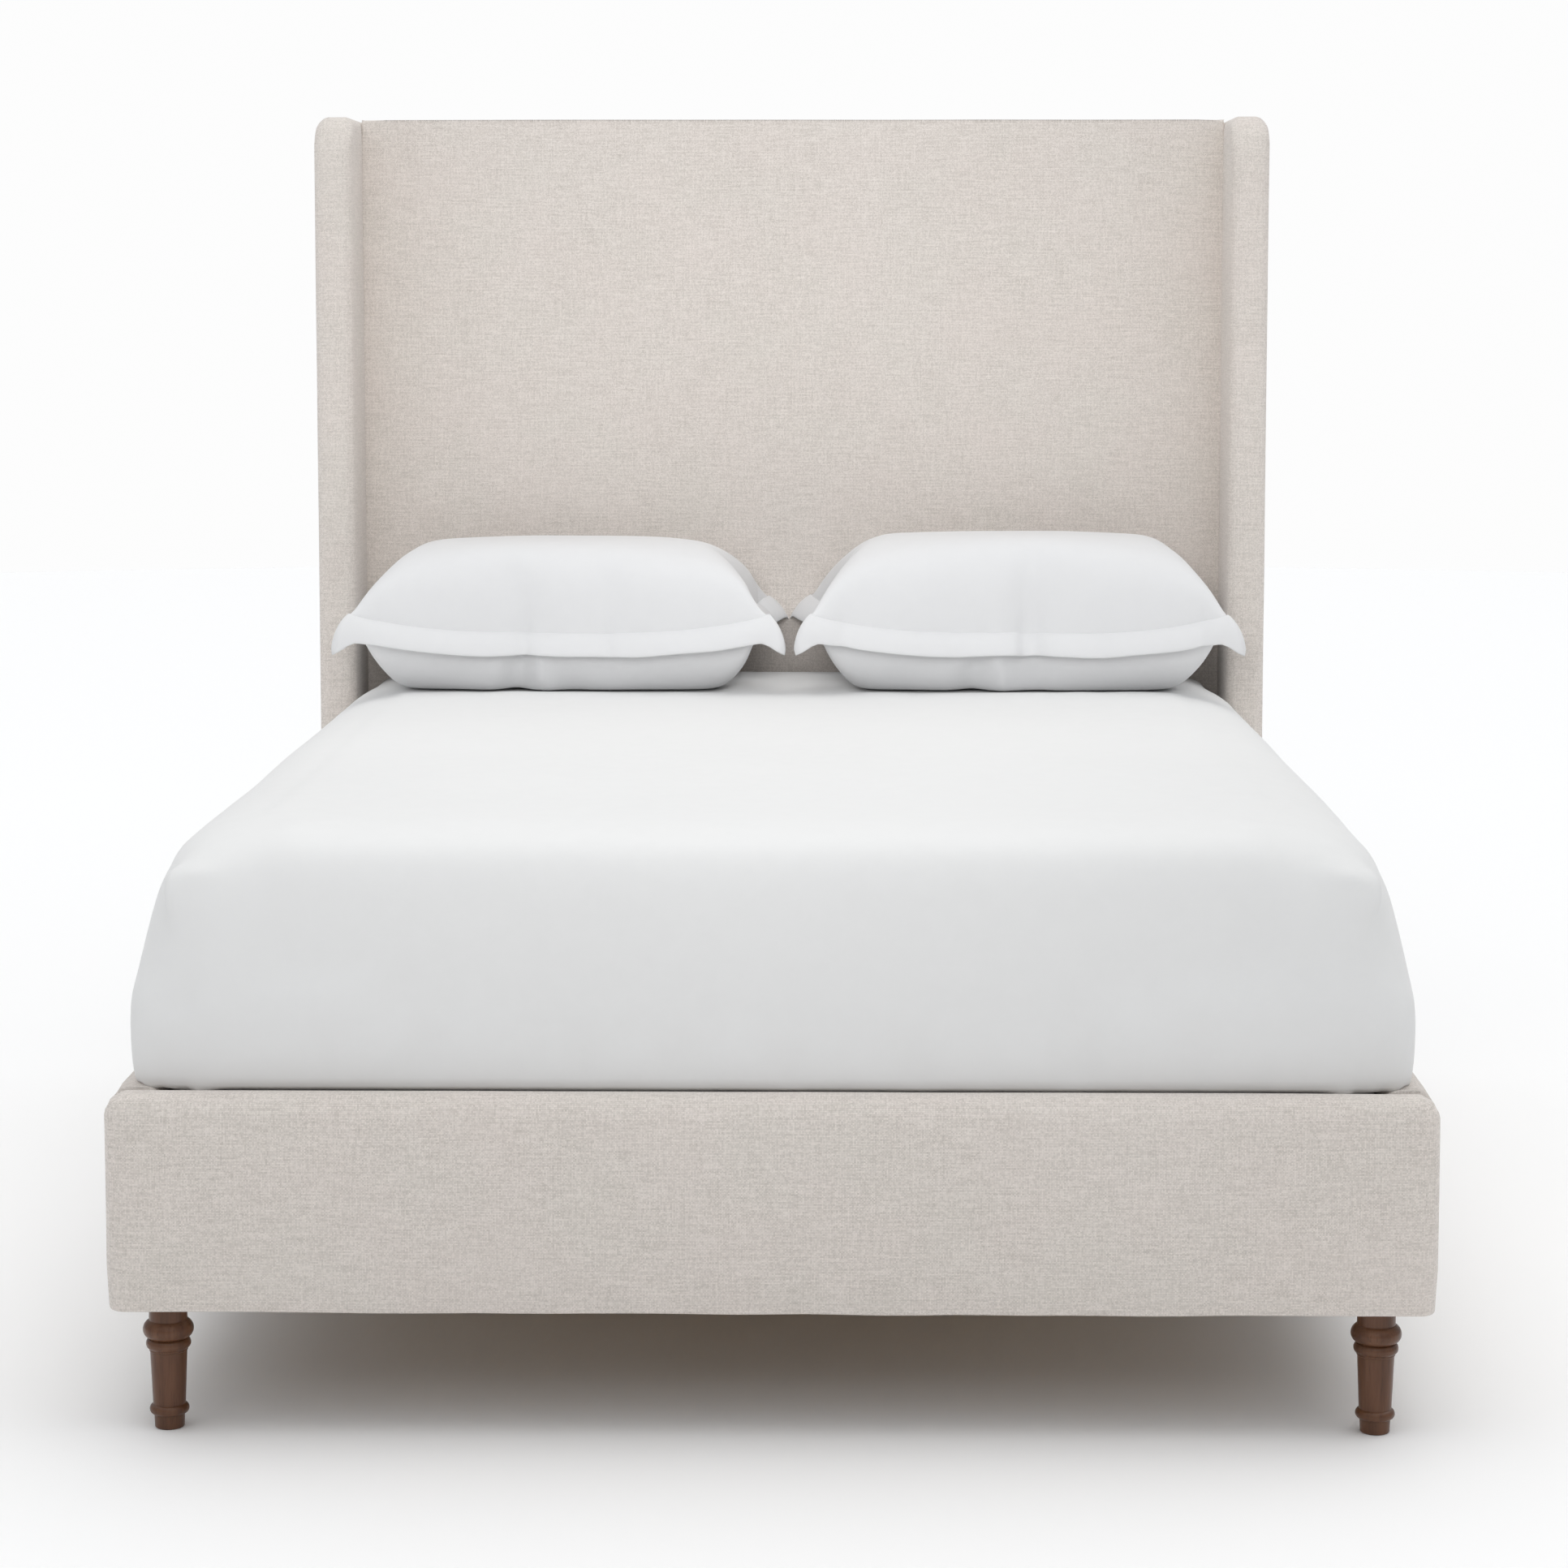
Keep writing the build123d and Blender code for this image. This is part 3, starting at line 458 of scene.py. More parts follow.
def makePanel():
    low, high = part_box("headboard_cover")
    bm = blockBetween(low, high)

    def frontUpright(edge):
        return upright(edge) and abs(edge.verts[0].co.y - low.y) < touching

    def frontTop(edge):
        a, b = (v.co for v in edge.verts)
        return flatAt(edge, high.z) and (a.y + b.y) / 2 < low.y + padding["frontBand"]

    def backTop(edge):
        return flatAt(edge, high.z) and all(abs(v.co.y - high.y) < touching for v in edge.verts)

    roundEdges(bm, frontUpright, padding["panelSide"], 4)
    roundEdges(bm, frontTop, padding["panelTop"], 6)
    roundEdges(bm, backTop, padding["panelTop"] / 2, 4)
    roundEdges(bm, lambda e: flatAt(e, low.z), padding["hem"], 3)
    gridCuts(bm, padding["step"], low, high)
    bm.normal_update()
    wrapCloth(bm, low, high)
    swell(bm, low, high, padding["swell"], padding["wave"] * 1.4, 4.0, 0.3)
    for vert in bm.verts:   # the back stays flat under the dust cloth
        vert.co.y = min(vert.co.y, high.y - padding["backFlat"])
    piece = finishPiece(bm, "headboardUpholstery", "frame", "linen_upholstery")
    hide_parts("headboard_cover", "headboard_foam")


wing = dict(nose=0.078, arcPoints=9)


def makeWing(hand, seed):
    low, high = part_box(f"{hand}_wing_cover")
    bm = bmesh.new()
    centre = Vector((low.x, low.y + wing["nose"], high.z - wing["nose"]))
    outline = [Vector((low.x, y, z)) for y, z in ((high.y, high.z), (high.y, low.z), (low.y, low.z))]
    for number in range(wing["arcPoints"] + 1):   # the wide curve of the front top corner
        turn = math.pi - number / wing["arcPoints"] * math.pi / 2
        outline.append(centre + wing["nose"] * Vector((0, math.cos(turn), math.sin(turn))))
    face = bm.faces.new([bm.verts.new(p) for p in outline])
    grown = bmesh.ops.extrude_face_region(bm, geom=[face])
    moved = [g for g in grown["geom"] if isinstance(g, bmesh.types.BMVert)]
    bmesh.ops.translate(bm, vec=(high.x - low.x, 0, 0), verts=moved)
    bmesh.ops.recalc_face_normals(bm, faces=bm.faces)

    def rim(edge):
        a, b = (v.co for v in edge.verts)
        middle = (a + b) / 2
        return abs(a.x - b.x) < touching and middle.y < high.y - touching and middle.z > low.z + touching

    roundEdges(bm, rim, padding["wingRim"], 5)
    gridCuts(bm, padding["step"], low, high)
    bm.normal_update()
    wrapCloth(bm, low, high)
    swell(bm, low, high, padding["swell"] * 0.8, padding["wave"], seed)
    piece = finishPiece(bm, f"{hand}WingUpholstery", "frame", "linen_upholstery")
    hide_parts(f"{hand}_wing_cover", f"{hand}_wing_foam")


makeFootboard()
makePanel()
for number, hand in enumerate(("left", "right")):
    makeRail(hand, 7.0 + number)
    makeWing(hand, 12.0 + number)
print("upholstery made")


# cloth simulation
def simulate(piece, frames, pins=None, **settings):
    # runs cloth on a piece and returns where its points settle, leaving no modifier on it
    cloth = piece.modifiers.new("cloth", "CLOTH")
    for key, value in settings.items():
        setattr(cloth.settings, key, value)
    if pins:
        piece.vertex_groups.new(name="pins").add(pins, 1.0, "REPLACE")
        cloth.settings.vertex_group_mass = "pins"
    cloth.settings.use_pressure = True
    cloth.settings.effector_weights.gravity = 0
    cloth.point_cache.frame_start, cloth.point_cache.frame_end = 1, frames
    for number in range(1, frames + 1):
        bpy.context.scene.frame_set(number)
    settled = piece.evaluated_get(bpy.context.evaluated_depsgraph_get())
    places = [v.co.copy() for v in settled.data.vertices]
    piece.modifiers.clear()
    bpy.context.scene.frame_set(1)
    return places


def looseObject(bm, name):
    # a working object that is removed once its mesh has been used
    mesh = bpy.data.meshes.new(name)
    bm.to_mesh(mesh)
    blank = bpy.data.objects.new(name, mesh)
    bpy.context.scene.collection.objects.link(blank)
    return blank


def ripple(place, scale, seed=0.0):
    return noise.noise(place * scale + Vector((seed, seed * 0.7, 0)))


# pillows in their flanged shams
sham = dict(width=0.80, depth=0.58, cell=0.0145, gap=0.012,   # the flat cloths, before they are filled
            frames=24, pressure=10.0, stiffness=40.0, bending=0.3, mass=0.2,
            seamDepth=0.446, seamRise=0.125, seamSag=0.024, cornerLift=0.010,
            boxy=1.7, flatten=1.3, evenOut=6,
            flange=0.048, flangeRows=5, tuck=0.005, ply=0.003, ruffle=0.006, cornerReach=0.3,
            frontHang=54.0, cornerHang=62.0, backHang=46.0, hangFade=1.3, firstBend=0.55, cornerSpan=0.2,
            wingGap=0.004, wingMargin=0.02, wingAhead=0.10, wingBlend=0.08, wingPush=0.8, wingLift=0.5,
            foldDepth=0.007, foldPlace=-0.055, foldWidth=0.085, foldCount=8.0, foldOut=(0, -0.93, -0.37),
            fanNear=0.03, fanSpread=0.09, foldReach=0.12, foldFade=2.2,
            lapRise=0.008, lapLean=0.018, lapEdge=0.012, lapSpread=0.10)


def overSeam(flat):
    # which way the flange leaves the flat cloth here, or no way at all inside the seam
    x, y = flat.x / (sham["width"] / 2), flat.y / (sham["depth"] / 2)
    atEdge = 0.9999
    return Vector((round(x) if abs(x) > atEdge else 0, round(y) if abs(y) > atEdge else 0, 0))


def makeEnvelope(seed):
    # two flat cloths joined at their seam, a little apart in the middle
    bm = bmesh.new()
    bmesh.ops.create_grid(bm, x_segments=round(sham["width"] / sham["cell"]),
                          y_segments=round(sham["depth"] / sham["cell"]), size=0.5)
    bmesh.ops.scale(bm, vec=(sham["width"], sham["depth"], 1), verts=bm.verts)
    copied = bmesh.ops.duplicate(bm, geom=bm.verts[:] + bm.edges[:] + bm.faces[:])["geom"]
    under = {g for g in copied if isinstance(g, bmesh.types.BMVert)}
    bmesh.ops.reverse_faces(bm, faces=[g for g in copied if isinstance(g, bmesh.types.BMFace)])
    for vert in bm.verts:
        if overSeam(vert.co).length == 0:
            lift = sham["gap"] * (1 + 0.4 * ripple(vert.co, 9, seed + 5 * (vert in under)))
            vert.co.z = -lift if vert in under else lift
    bmesh.ops.remove_doubles(bm, verts=bm.verts, dist=touching)
    return bm


def turnRound(flat):
    # distance round the flat cloth's edge, from its front left corner
    w, d = sham["width"], sham["depth"]
    side = overSeam(flat)
    if side.y < 0:
        return flat.x + w / 2
    if side.x > 0:
        return w + flat.y + d / 2
    if side.y > 0:
        return 2 * w + d - (flat.x + w / 2)
    return 2 * w + 2 * d - (flat.y + d / 2)


def hangAngle(flat):
    # how far the flange hangs: steep along the front, less at the headboard, steepest at the front corners
    front = smoothStep(0.5 - flat.y / sham["depth"])
    corner = smoothStep((abs(flat.x) / (sham["width"] / 2) - 1) / sham["cornerSpan"] + 1)
    side = sham["backHang"] + (sham["frontHang"] - sham["backHang"]) * front ** sham["hangFade"]
    return math.radians(side + (sham["cornerHang"] - side) * corner * front)


def flangePoint(flat, place, share):
    # flat is where the seam point was in the flat cloth, place is where it is now
    side = overSeam(flat)
    reach = sham["flange"] * share - sham["tuck"] * (1 - share)
    out = reach * (1 + sham["cornerReach"] * (side.length > 1))
    bend = hangAngle(flat) * (sham["firstBend"] + (1 - sham["firstBend"]) * share)
    wave = sham["ruffle"] * share ** 1.5 * ripple(flat, 10, 3.0)
    fall = -out * side.length * math.sin(bend) + wave * math.cos(bend)
    return place + side * (out * math.cos(bend) + wave * math.sin(bend) / 2) + Vector((0, 0, fall))


def addFlange(bm, seam):
    # a closed ring of edges is extruded outwards row by row, then given its thickness
    ring = [bm.verts.new(flangePoint(flat, place, 0.0)) for flat, place in seam]
    edges = [bm.edges.new(pair) for pair in zip(ring, ring[1:] + ring[:1])]
    faces = []
    for row in range(1, sham["flangeRows"] + 1):
        made = bmesh.ops.extrude_edge_only(bm, edges=edges)["geom"]
        fresh = {g for g in made if isinstance(g, bmesh.types.BMVert)}
        ring = [next(edge.other_vert(old) for edge in old.link_edges if edge.other_vert(old) in fresh)
                for old in ring]
        edges = [g for g in made if isinstance(g, bmesh.types.BMEdge) and fresh.issuperset(g.verts)]
        faces += [g for g in made if isinstance(g, bmesh.types.BMFace)]
        for vert, (flat, place) in zip(ring, seam):
            vert.co = flangePoint(flat, place, row / sham["flangeRows"])
    bmesh.ops.recalc_face_normals(bm, faces=faces)
    bmesh.ops.solidify(bm, geom=faces, thickness=sham["ply"])


def keepBetweenWings(bm):
    # behind the wings' front edges the flange turns up against them instead of passing through
    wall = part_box("right_wing_cover")[0]
    room = wall.x - sham["wingGap"]
    start = wall.y - sham["wingAhead"]
    for vert in bm.verts:
        over = abs(vert.co.x) - room + sham["wingMargin"]
        if over > 0 and vert.co.y > start:
            near = smoothStep((vert.co.y - start) / sham["wingBlend"])
            inward = over * sham["wingPush"] * near
            vert.co.x -= math.copysign(inward, vert.co.x)
            vert.co.z += inward * sham["wingLift"]


def closureFolds(local, lower):
    # folds that fan out over the underside from the front end of the envelope's lap
    deep = min(1.0, -local.z / lower)
    across = local.x - sham["foldPlace"]
    turn = math.atan2(across, sham["fanNear"] + sham["fanSpread"] * deep)
    fan = math.sin(turn * sham["foldCount"]) * math.exp(-(across / sham["foldWidth"]) ** 2)
    fromLap = across - sham["lapLean"] * deep
    lap = smoothStep(fromLap / sham["lapEdge"]) * math.exp(-max(0.0, fromLap) / sham["lapSpread"])
    fade = smoothStep(-local.y / sham["foldReach"]) * smoothStep(deep * sham["foldFade"])
    return (sham["foldDepth"] * fan + sham["lapRise"] * lap) * fade


def makeSham(hand, seed, crown, seamWidth, shift):
    low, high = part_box(f"{hand}_pillow")
    bm = makeEnvelope(seed)
    bm.verts.index_update()
    flats = [v.co.copy() for v in bm.verts]
    blank = looseObject(bm, "envelope")
    puffed = simulate(blank, sham["frames"], quality=5, mass=sham["mass"], air_damping=1.5,
                      tension_stiffness=sham["stiffness"], compression_stiffness=sham["stiffness"],
                      shear_stiffness=sham["stiffness"] / 3, bending_stiffness=sham["bending"],
                      uniform_pressure_force=sham["pressure"])
    bpy.data.objects.remove(blank)
    seamX = max(p.x for p in puffed)
    seamY = max(p.y for p in puffed)
    top = max(p.z for p in puffed)
    seamPlace = Vector(((low.x + high.x) / 2 + shift, (low.y + high.y) / 2, low.z + sham["seamRise"]))
    upper, lower = high.z - seamPlace.z, sham["seamRise"]
    for vert, place in zip(bm.verts, puffed):
        x, y = place.x * seamWidth / 2 / seamX, place.y * sham["seamDepth"] / 2 / seamY
        share = min(1.0, abs(place.z) / top)
        share = 1 - (1 - share) ** sham["boxy"]
        bow = abs(2 * x / seamWidth) ** 3 * (sham["seamSag"] + sham["cornerLift"]) - sham["seamSag"]
        if place.z >= 0:
            local = Vector((x, y, (upper + crown) * share))
        else:
            local = Vector((x, y, -lower * min(1.0, share * sham["flatten"])))
        local.z += bow * (1 - share) ** 2
        vert.co = seamPlace + local
    inner = [v for v in bm.verts if not overSeam(flats[v.index]).length]
    smoothPoints(bm, inner, sham["evenOut"])
    for vert, place in zip(bm.verts, puffed):
        if place.z < 0 and not overSeam(flats[vert.index]).length:
            vert.co += Vector(sham["foldOut"]) * closureFolds(vert.co - seamPlace, lower)
            vert.co.z = max(vert.co.z, low.z)
    seam = [(flats[v.index], v.co.copy()) for v in bm.verts if overSeam(flats[v.index]).length]
    addFlange(bm, sorted(seam, key=lambda point: turnRound(point[0])))
    keepBetweenWings(bm)
    piece = finishPiece(bm, f"{hand}Sham", f"{hand}_pillow_set", "sham_cotton")
    soften(piece)
    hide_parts(f"{hand}_pillow", f"{hand}_sham")


def soften(piece):
    finer = piece.modifiers.new("finer", "SUBSURF")
    finer.levels = finer.render_levels = 1


makeSham("left", 1.0, 0.0, 0.726, -0.003)
makeSham("right", 4.0, 0.010, 0.716, 0.003)
print("shams made")


# duvet
duvet = dict(voxel=0.0204, evenOut=5,   # the even mesh that the simulation works on
             frames=16, pressure=3.0, stiffness=20.0, bending=6.0, mass=0.4, slack=-0.012,
             play=0.008, cap=0.006, hemHeight=0.030, hemStretch=0.07, hemRest=0.007, hemBand=0.016,
             pullIn=0.007, pullHeight=0.09, sideFrom=0.46, sideFade=0.35, slim=0.010,
             lean=0.013, leanFrom=0.51, leanTo=0.67, sway=0.003, swayFrom=0.70,
             shoulder=0.160, footEdge=0.108, frontSharp=3.6, middleFade=0.12,
             footCorner=0.128, cornerTop=1.85, cornerHem=9.0,
             cornerFrom=(0.62, -0.85, 0.56), cornerSmooth=16,
             dentInset=(0.06, 0.05), dentMargin=0.035, dentDepth=0.0006, topBand=0.05,
             creaseDepth=0.0022, creaseAt=0.05, creaseReach=0.12)


def roundOff(a, b, radius):
    # a and b are depths behind two faces that meet; outside the round, both move back onto it
    if a < radius and b < radius:
        reach = math.hypot(radius - a, radius - b)
        if reach > radius:
            return radius - (radius - a) * radius / reach, radius - (radius - b) * radius / reach
    return a, b


def squareUp(a, b, radius, power):
    # turns a round corner into a squarer one (power over 2), or a softer one (power under 2)
    across, along = radius - a, radius - b
    if across <= 0 or along <= 0:
        return a, b
    turn = math.atan2(along, across)
    grow = (math.cos(turn) ** power + math.sin(turn) ** power) ** (-1 / power)
    return radius - across * grow, radius - along * grow


def drape(p, low, high, sway):
    # rounds the shoulders, leans the sides in towards the top and draws the hem in a little
    hem = smoothStep((low.z + duvet["pullHeight"] - p.z) / duvet["pullHeight"])
    lean = smoothStep((p.z - duvet["leanFrom"]) / (duvet["leanTo"] - duvet["leanFrom"]))
    inward = hem * duvet["pullIn"] + lean * duvet["lean"] + duvet["slim"] - sway
    p.x -= math.copysign(inward, p.x) * smoothStep((abs(p.x) - duvet["sideFrom"]) / duvet["sideFade"])
    aside, above, ahead = high.x - abs(p.x), high.z - p.z, p.y - low.y
    middle = smoothStep((aside - duvet["footCorner"]) / duvet["middleFade"])
    ahead, above = squareUp(ahead, above, duvet["footEdge"], 2 + (duvet["frontSharp"] - 2) * middle)
    aside, above = roundOff(aside, above, duvet["shoulder"])
    lowDown = smoothStep((duvet["leanTo"] - p.z) / (duvet["leanTo"] - low.z))
    corner = duvet["cornerTop"] + (duvet["cornerHem"] - duvet["cornerTop"]) * lowDown
    aside, ahead = squareUp(aside, ahead, duvet["footCorner"], corner)
    raised = sway * (p.z > duvet["swayFrom"])
    return Vector((math.copysign(high.x - aside, p.x), low.y + ahead, high.z - above + raised))


def dent(p, top, pillows):
    # the top lies flat under each pillow and creases a little round it
    for padLow, padHigh in pillows:
        middle = (padLow + padHigh) / 2
        outX = abs(p.x - middle.x) - (padHigh.x - middle.x - duvet["dentInset"][0])
        outY = abs(p.y - middle.y) - (padHigh.y - middle.y - duvet["dentInset"][1])
        away = max(outX, outY)
        under = smoothStep(1 - away / duvet["dentMargin"])
        near = smoothStep(1 - abs(away - duvet["creaseAt"]) / duvet["creaseReach"])
        crease = duvet["creaseDepth"] * ripple(Vector((p.x * 16, p.y * 5 + p.x * 9, 0)), 1.0, 6.0)
        if p.z > top - duvet["topBand"]:
            p.z += crease * near
            p.z += (min(p.z, top - duvet["dentDepth"]) - p.z) * under


def makeDuvet():
    low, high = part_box("duvet")
    mattressLow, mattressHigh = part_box("fitted_sheet")
    bm = bmesh.new()
    bm.from_mesh(frame["nodes"]["duvet"].data)
    bmesh.ops.remove_doubles(bm, verts=bm.verts, dist=touching)
    blank = looseObject(bm, "duvetForm")
    bm.free()
    remesh = blank.modifiers.new("even", "REMESH")
    remesh.mode, remesh.voxel_size = "VOXEL", duvet["voxel"]
    relax = blank.modifiers.new("relax", "SMOOTH")
    relax.factor, relax.iterations = 0.5, duvet["evenOut"]
    back = blank.modifiers.new("back", "SHRINKWRAP")
    back.target = frame["nodes"]["duvet"]
    even = bpy.data.meshes.new_from_object(blank.evaluated_get(bpy.context.evaluated_depsgraph_get()))
    bpy.data.objects.remove(blank)
    form = bpy.data.objects.new("duvetEven", even)
    bpy.context.scene.collection.objects.link(form)
    start = [v.co.copy() for v in even.vertices]
    play = duvet["play"]

    def inside(p):   # on the face that lies against the mattress
        between = mattressLow.x - play < p.x < mattressHigh.x + play
        return between and mattressLow.y - play < p.y < mattressHigh.y + play and p.z < mattressHigh.z + play

    held = [i for i, p in enumerate(start) if inside(p) or p.z < low.z + duvet["hemHeight"]]
    settled = simulate(form, duvet["frames"], pins=held, quality=4, mass=duvet["mass"],
                       air_damping=2.0, tension_stiffness=duvet["stiffness"],
                       compression_stiffness=duvet["stiffness"], shear_stiffness=duvet["stiffness"] / 3,
                       bending_stiffness=duvet["bending"], uniform_pressure_force=duvet["pressure"],
                       shrink_min=duvet["slack"])
    pillows = [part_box(f"{hand}_pillow") for hand in ("left", "right")]
    bm = bmesh.new()
    bm.from_mesh(even)
    bpy.data.objects.remove(form)
    bm.verts.index_update()
    for vert, place in zip(bm.verts, settled):
        first = start[vert.index]
        if inside(first):
            continue
        moved = place - first
        if moved.length > duvet["cap"]:
            moved = moved.normalized() * duvet["cap"]
        p = first + moved
        if p.z < low.z + duvet["hemStretch"]:   # the hem rests on the frame all round
            share = max(0.0, (p.z - low.z - duvet["hemBand"]) / (duvet["hemStretch"] - duvet["hemBand"]))
            p.z = low.z - duvet["hemRest"] + (duvet["hemStretch"] + duvet["hemRest"]) * share
        sway = duvet["sway"] * ripple(p, 2.6, 2.0)
        p = drape(p, low, high, sway)
        dent(p, high.z, pillows)
        vert.co = p
    x, y, z = duvet["cornerFrom"]
    corner = [v for v in bm.verts if abs(v.co.x) > x and v.co.y < y and v.co.z > z
              and not inside(start[v.index])]
    smoothPoints(bm, corner, duvet["cornerSmooth"])
    piece = finishPiece(bm, "duvetCover", "duvet", "duvet_cotton")
    soften(piece)
    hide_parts("duvet")


makeDuvet()
print("duvet made")


# fitted sheet
fitted = dict(step=0.04, corner=0.045, topEdge=0.030, ply=0.0010, proud=0.0018,
              wrinkle=0.0011, fans=26.0, fanReach=0.22, gathers=190.0, gatherHeight=0.10,
              flatWidth=2.26, flatLength=2.77, flatArea=5.70)


def makeFittedSheet():
    low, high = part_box("fitted_sheet")
    bm = blockBetween(low, high)
    roundEdges(bm, upright, fitted["corner"], 5)
    roundEdges(bm, lambda e: flatAt(e, high.z), fitted["topEdge"], 4)
    gridCuts(bm, fitted["step"], low, high)
    bmesh.ops.delete(bm, geom=[f for f in bm.faces if f.normal.z < -0.9], context="FACES")
    bm.normal_update()
    for vert in bm.verts:
        p = vert.co
        toCorner = Vector((high.x - abs(p.x), min(p.y - low.y, high.y - p.y))).length
        fan = math.sin(math.atan2(high.z - p.z + 0.02, toCorner + 0.01) * fitted["fans"])
        tight = math.exp(-toCorner / fitted["fanReach"])
        lowDown = smoothStep((low.z + fitted["gatherHeight"] - p.z) / fitted["gatherHeight"])
        gather = math.sin((p.x + p.y) * fitted["gathers"]) * lowDown
        soft = ripple(p, 5.0, 8.0)
        p += vert.normal * (fitted["wrinkle"] * (fan * tight + 0.5 * gather + 0.6 * soft) + fitted["proud"])
    bmesh.ops.solidify(bm, geom=bm.faces[:], thickness=fitted["ply"])
    piece = finishPiece(bm, "fittedSheet", "mattress", "sheet_cotton")
    soften(piece)
    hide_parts("fitted_sheet")


makeFittedSheet()
print("fitted sheet made")


# dust cloth and its staples
backCloth = dict(cuts=36, hem=0.015, hemStep=0.0005, proud=0.0016, ply=0.0006,
                 slack=0.0022, slackReach=0.3, pull=0.0006, pullReach=0.05)
staple = dict(pitch=0.07, crown=0.0105, wire=0.0011, high=0.0007, rise=0.0016, inset=0.008, skew=14.0)


def makeDustPanel():
    low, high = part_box("headboard_back_cloth")
    width, height = high.x - low.x, high.z - low.z
    bm = bmesh.new()
    bmesh.ops.create_grid(bm, x_segments=backCloth["cuts"], y_segments=backCloth["cuts"], size=0.5)
    bmesh.ops.rotate(bm, matrix=Matrix.Rotation(math.pi / 2, 3, "X"), verts=bm.verts)
    bmesh.ops.scale(bm, vec=(width, 1, height), verts=bm.verts)
    bmesh.ops.translate(bm, vec=((low.x + high.x) / 2, high.y, (low.z + high.z) / 2), verts=bm.verts)
    for axis in (0, 2):   # the edges of the folded hem
        cutAcross(bm, axis, low[axis] + backCloth["hem"])
        cutAcross(bm, axis, high[axis] - backCloth["hem"])
    for vert in bm.verts:
        p = vert.co
        fromEdge = min(p.x - low.x, high.x - p.x, p.z - low.z, high.z - p.z)
        slack = backCloth["slack"] * smoothStep(fromEdge / backCloth["slackReach"])
        slack *= 0.6 + 0.4 * ripple(p, 3.0, 1.0)
        pull = backCloth["pull"] * math.exp(-fromEdge / backCloth["pullReach"])
        pull *= math.sin((p.x + p.z) * 2 * math.pi / staple["pitch"])
        hem = backCloth["hemStep"] if fromEdge < backCloth["hem"] + 1e-4 else 0
        p.y = high.y + backCloth["proud"] + slack + pull + hem
    bmesh.ops.solidify(bm, geom=bm.faces[:], thickness=backCloth["ply"])
    piece = finishPiece(bm, "headboardDustCloth", "frame", "dust_cloth")
    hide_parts("headboard_back_cloth")
    staples = makeStaples(low, high)


def makeStaples(low, high):
    bm = bmesh.new()
    for along, across, turn in ((0, 2, 0), (2, 0, 90)):
        length = high[along] - low[along]
        count = round(length / staple["pitch"])
        for number in range(1, count):
            for edge in (low[across] + staple["inset"], high[across] - staple["inset"]):
                place = Vector((0, high.y + backCloth["proud"] + staple["rise"], 0))
                place[along] = low[along] + length * number / count
                place[across] = edge
                skew = staple["skew"] * ripple(Vector((place.x, place.z, 0)), 40)
                spin = Matrix.Rotation(math.radians(turn + skew), 3, "Y")
                made = bmesh.ops.create_cube(bm, size=1.0)["verts"]
                bmesh.ops.scale(bm, vec=(staple["crown"], staple["high"], staple["wire"]), verts=made)
                bmesh.ops.rotate(bm, matrix=spin, verts=made)
                bmesh.ops.translate(bm, vec=place, verts=made)
    return finishPiece(bm, "dustClothStaples", "frame", "zinc_steel", smooth=False)


makeDustPanel()
print("dust cloth made")


# camera, light and floor
def makeCamera():
    eye = dict(place=(0.0834, -5.5868, 1.4190), pitch=5.61, yaw=0.846, lens=84.68, drop=-0.08)
    data = bpy.data.cameras.new("camera")
    data.lens, data.sensor_width, data.shift_y = eye["lens"], 36.0, eye["drop"]
    data.clip_end = 60.0
    camera = bpy.data.objects.new("camera", data)
    camera.location = eye["place"]
    camera.rotation_euler = (math.radians(90 - eye["pitch"]), 0, math.radians(eye["yaw"]))
    bpy.context.scene.collection.objects.link(camera)
    bpy.context.scene.camera = camera


studio = dict(floor=14.0, backdrop=0.98, horizon=0.30, zenith=0.96, sun=1.0, spread=75.0,
              sunTilt=-15.0, sunTurn=-25.0, sky=(0.955, 0.975, 1.0), lamp=(1.0, 0.975, 0.94),
              floorNearPaintedShade=(0.97, 0.967, 0.965), floorFar=(0.985, 0.985, 0.985),
              softBox=dict(place=(-0.3, -3.0, 2.1), aim=(0.0, 1.0, 1.38), size=1.4, power=5.0, spread=54.0),
              catchLight=dict(place=(0.5, -4.6, 2.3), aim=(0.0, -1.1, 0.2), size=0.7, power=3.6,
                              spread=170.0))


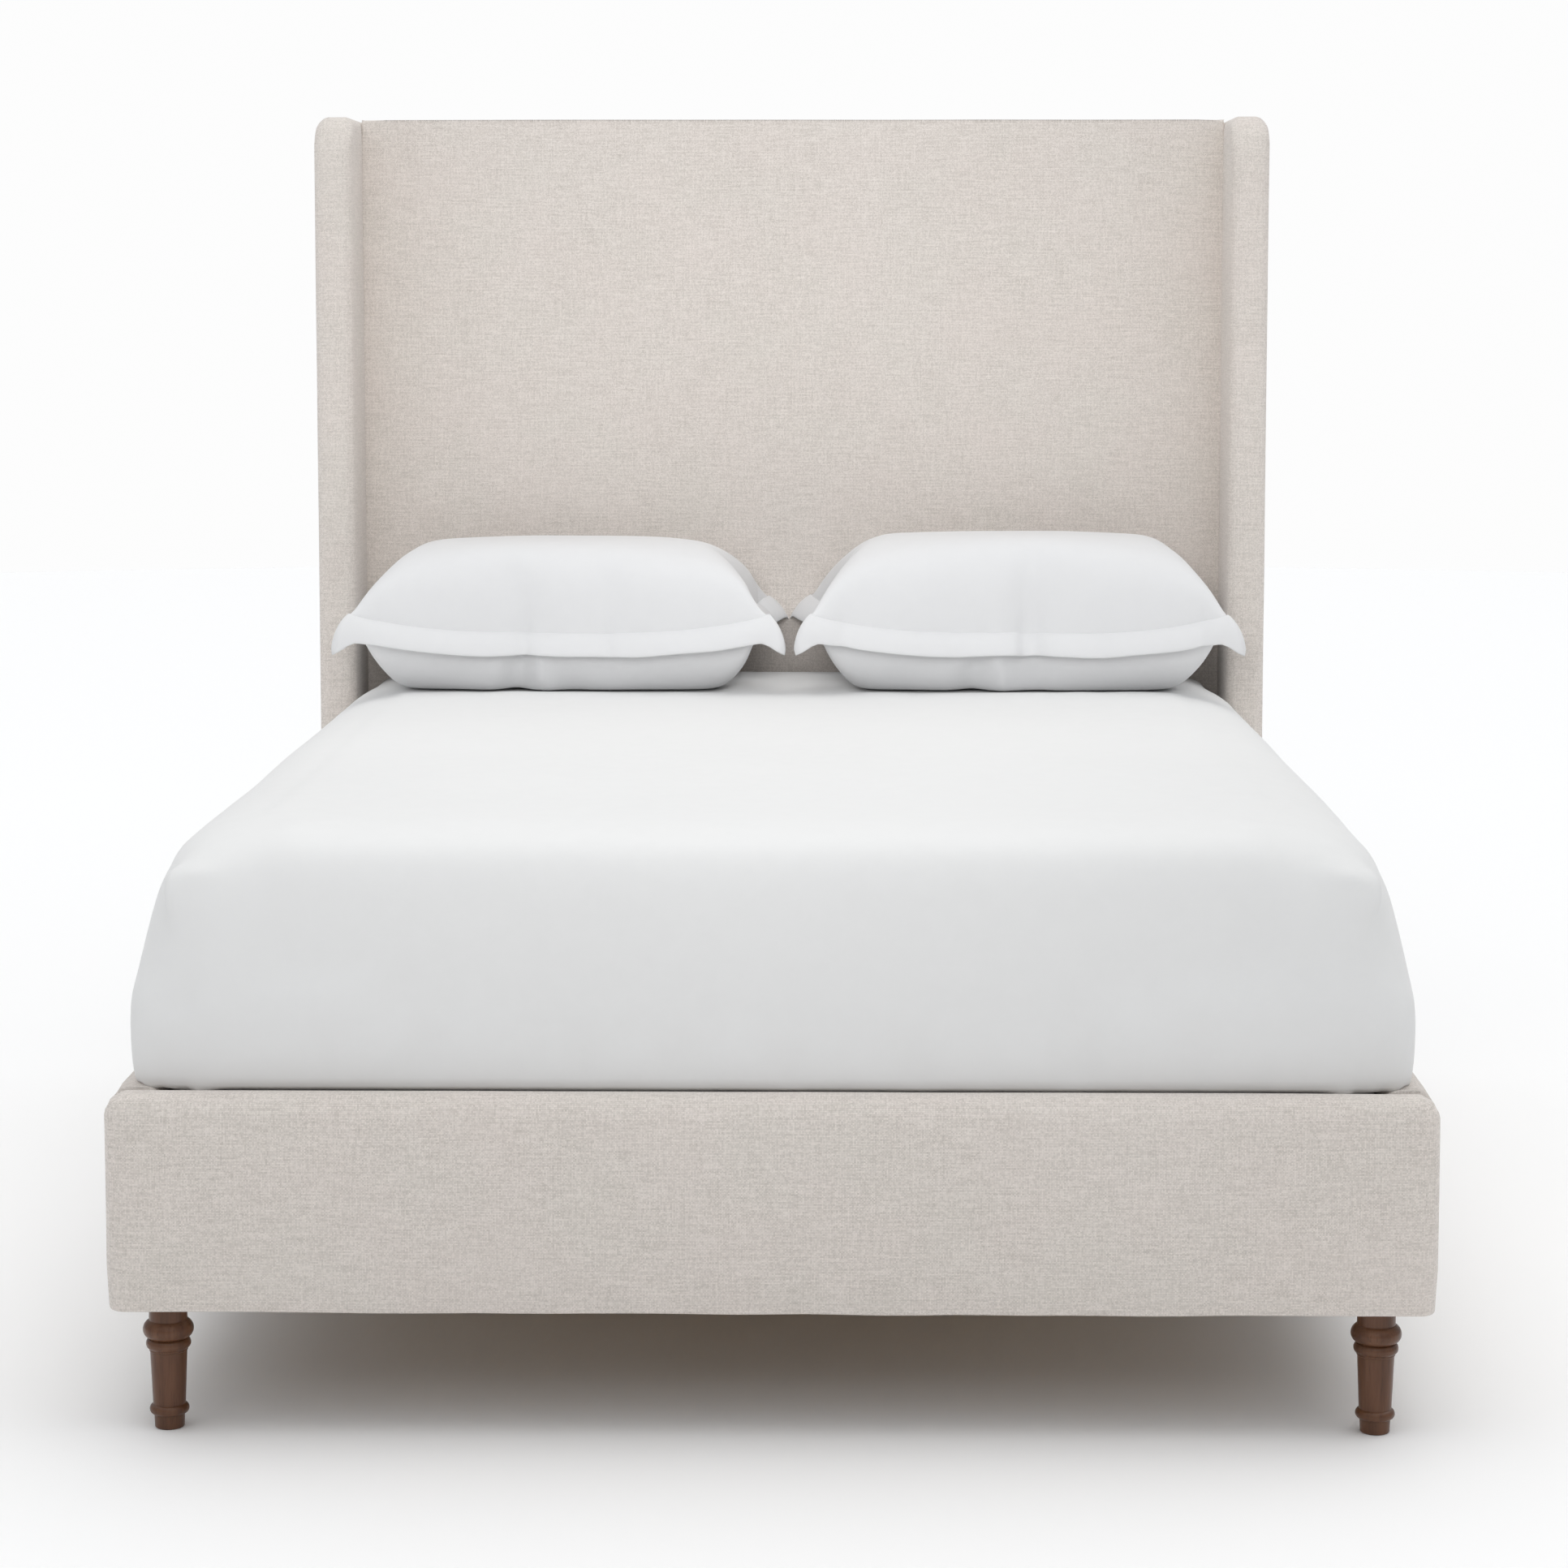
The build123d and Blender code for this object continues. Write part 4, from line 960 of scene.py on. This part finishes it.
def makeSky():
    # the walls look one even pale tone, and the light itself comes more from above than from the sides
    world = bpy.data.worlds.new("studio")
    bpy.context.scene.world = world
    world.use_nodes = True
    tree = world.node_tree
    coordinates = tree.nodes.new("ShaderNodeTexCoord")
    axes = tree.nodes.new("ShaderNodeSeparateXYZ")
    fade = tree.nodes.new("ShaderNodeMapRange")
    for number, value in enumerate((0.0, 1.0, studio["horizon"], studio["zenith"]), start=1):
        fade.inputs[number].default_value = value
    light = tree.nodes["Background"]
    light.inputs[0].default_value = (*studio["sky"], 1.0)
    wall = tree.nodes.new("ShaderNodeBackground")
    wall.inputs[0].default_value = (1.0, 1.0, 1.0, 1.0)
    wall.inputs[1].default_value = studio["backdrop"]
    ray = tree.nodes.new("ShaderNodeLightPath")
    chosen = tree.nodes.new("ShaderNodeMixShader")
    for source, target in ((coordinates.outputs["Generated"], axes.inputs[0]),
                           (axes.outputs[2], fade.inputs[0]), (fade.outputs[0], light.inputs[1]),
                           (ray.outputs["Is Camera Ray"], chosen.inputs[0]),
                           (light.outputs[0], chosen.inputs[1]), (wall.outputs[0], chosen.inputs[2]),
                           (chosen.outputs[0], tree.nodes["World Output"].inputs[0])):
        tree.links.new(source, target)


def makeStudio():
    makeSky()
    bm = bmesh.new()
    bmesh.ops.create_circle(bm, cap_ends=True, segments=96, radius=studio["floor"])
    mesh = bpy.data.meshes.new("floor")
    bm.to_mesh(mesh)
    bm.free()
    floorLook = Look("paleFloor", Roughness=0.9)
    place = floorLook.places()
    away = floorLook.add("ShaderNodeVectorMath", {"operation": "LENGTH"}, {0: place}, output=1)
    cloud = floorLook.noise(place, 0.6, 3.0) * 0.4
    # the floor colour is darker near the bed and lighter further out: painted shade round the bed; the cloud
    # noise only makes the edge of that shade uneven
    colour = floorLook.mix(floorLook.span(away + cloud, 1.6, 5.5), studio["floorNearPaintedShade"], studio["floorFar"])
    floorLook.feed("Base Color", colour)
    mesh.materials.append(floorLook.material)
    floor = bpy.data.objects.new("floor", mesh)
    bpy.context.scene.collection.objects.link(floor)
    lamp = bpy.data.lights.new("overhead", "SUN")
    lamp.energy, lamp.angle, lamp.color = studio["sun"], math.radians(studio["spread"]), studio["lamp"]
    overhead = bpy.data.objects.new("overhead", lamp)
    overhead.rotation_euler = (math.radians(studio["sunTilt"]), 0, math.radians(studio["sunTurn"]))
    bpy.context.scene.collection.objects.link(overhead)
    for name in ("softBox", "catchLight"):
        box = studio[name]
        lamp = bpy.data.lights.new(name, "AREA")
        lamp.energy, lamp.size, lamp.spread = box["power"], box["size"], math.radians(box["spread"])
        light = bpy.data.objects.new(name, lamp)
        light.location = box["place"]
        aim = Vector(box["aim"]) - Vector(box["place"])
        light.rotation_euler = aim.to_track_quat("-Z", "Y").to_euler()
        bpy.context.scene.collection.objects.link(light)
    bpy.context.scene.view_settings.view_transform = "Standard"


makeCamera()
makeStudio()
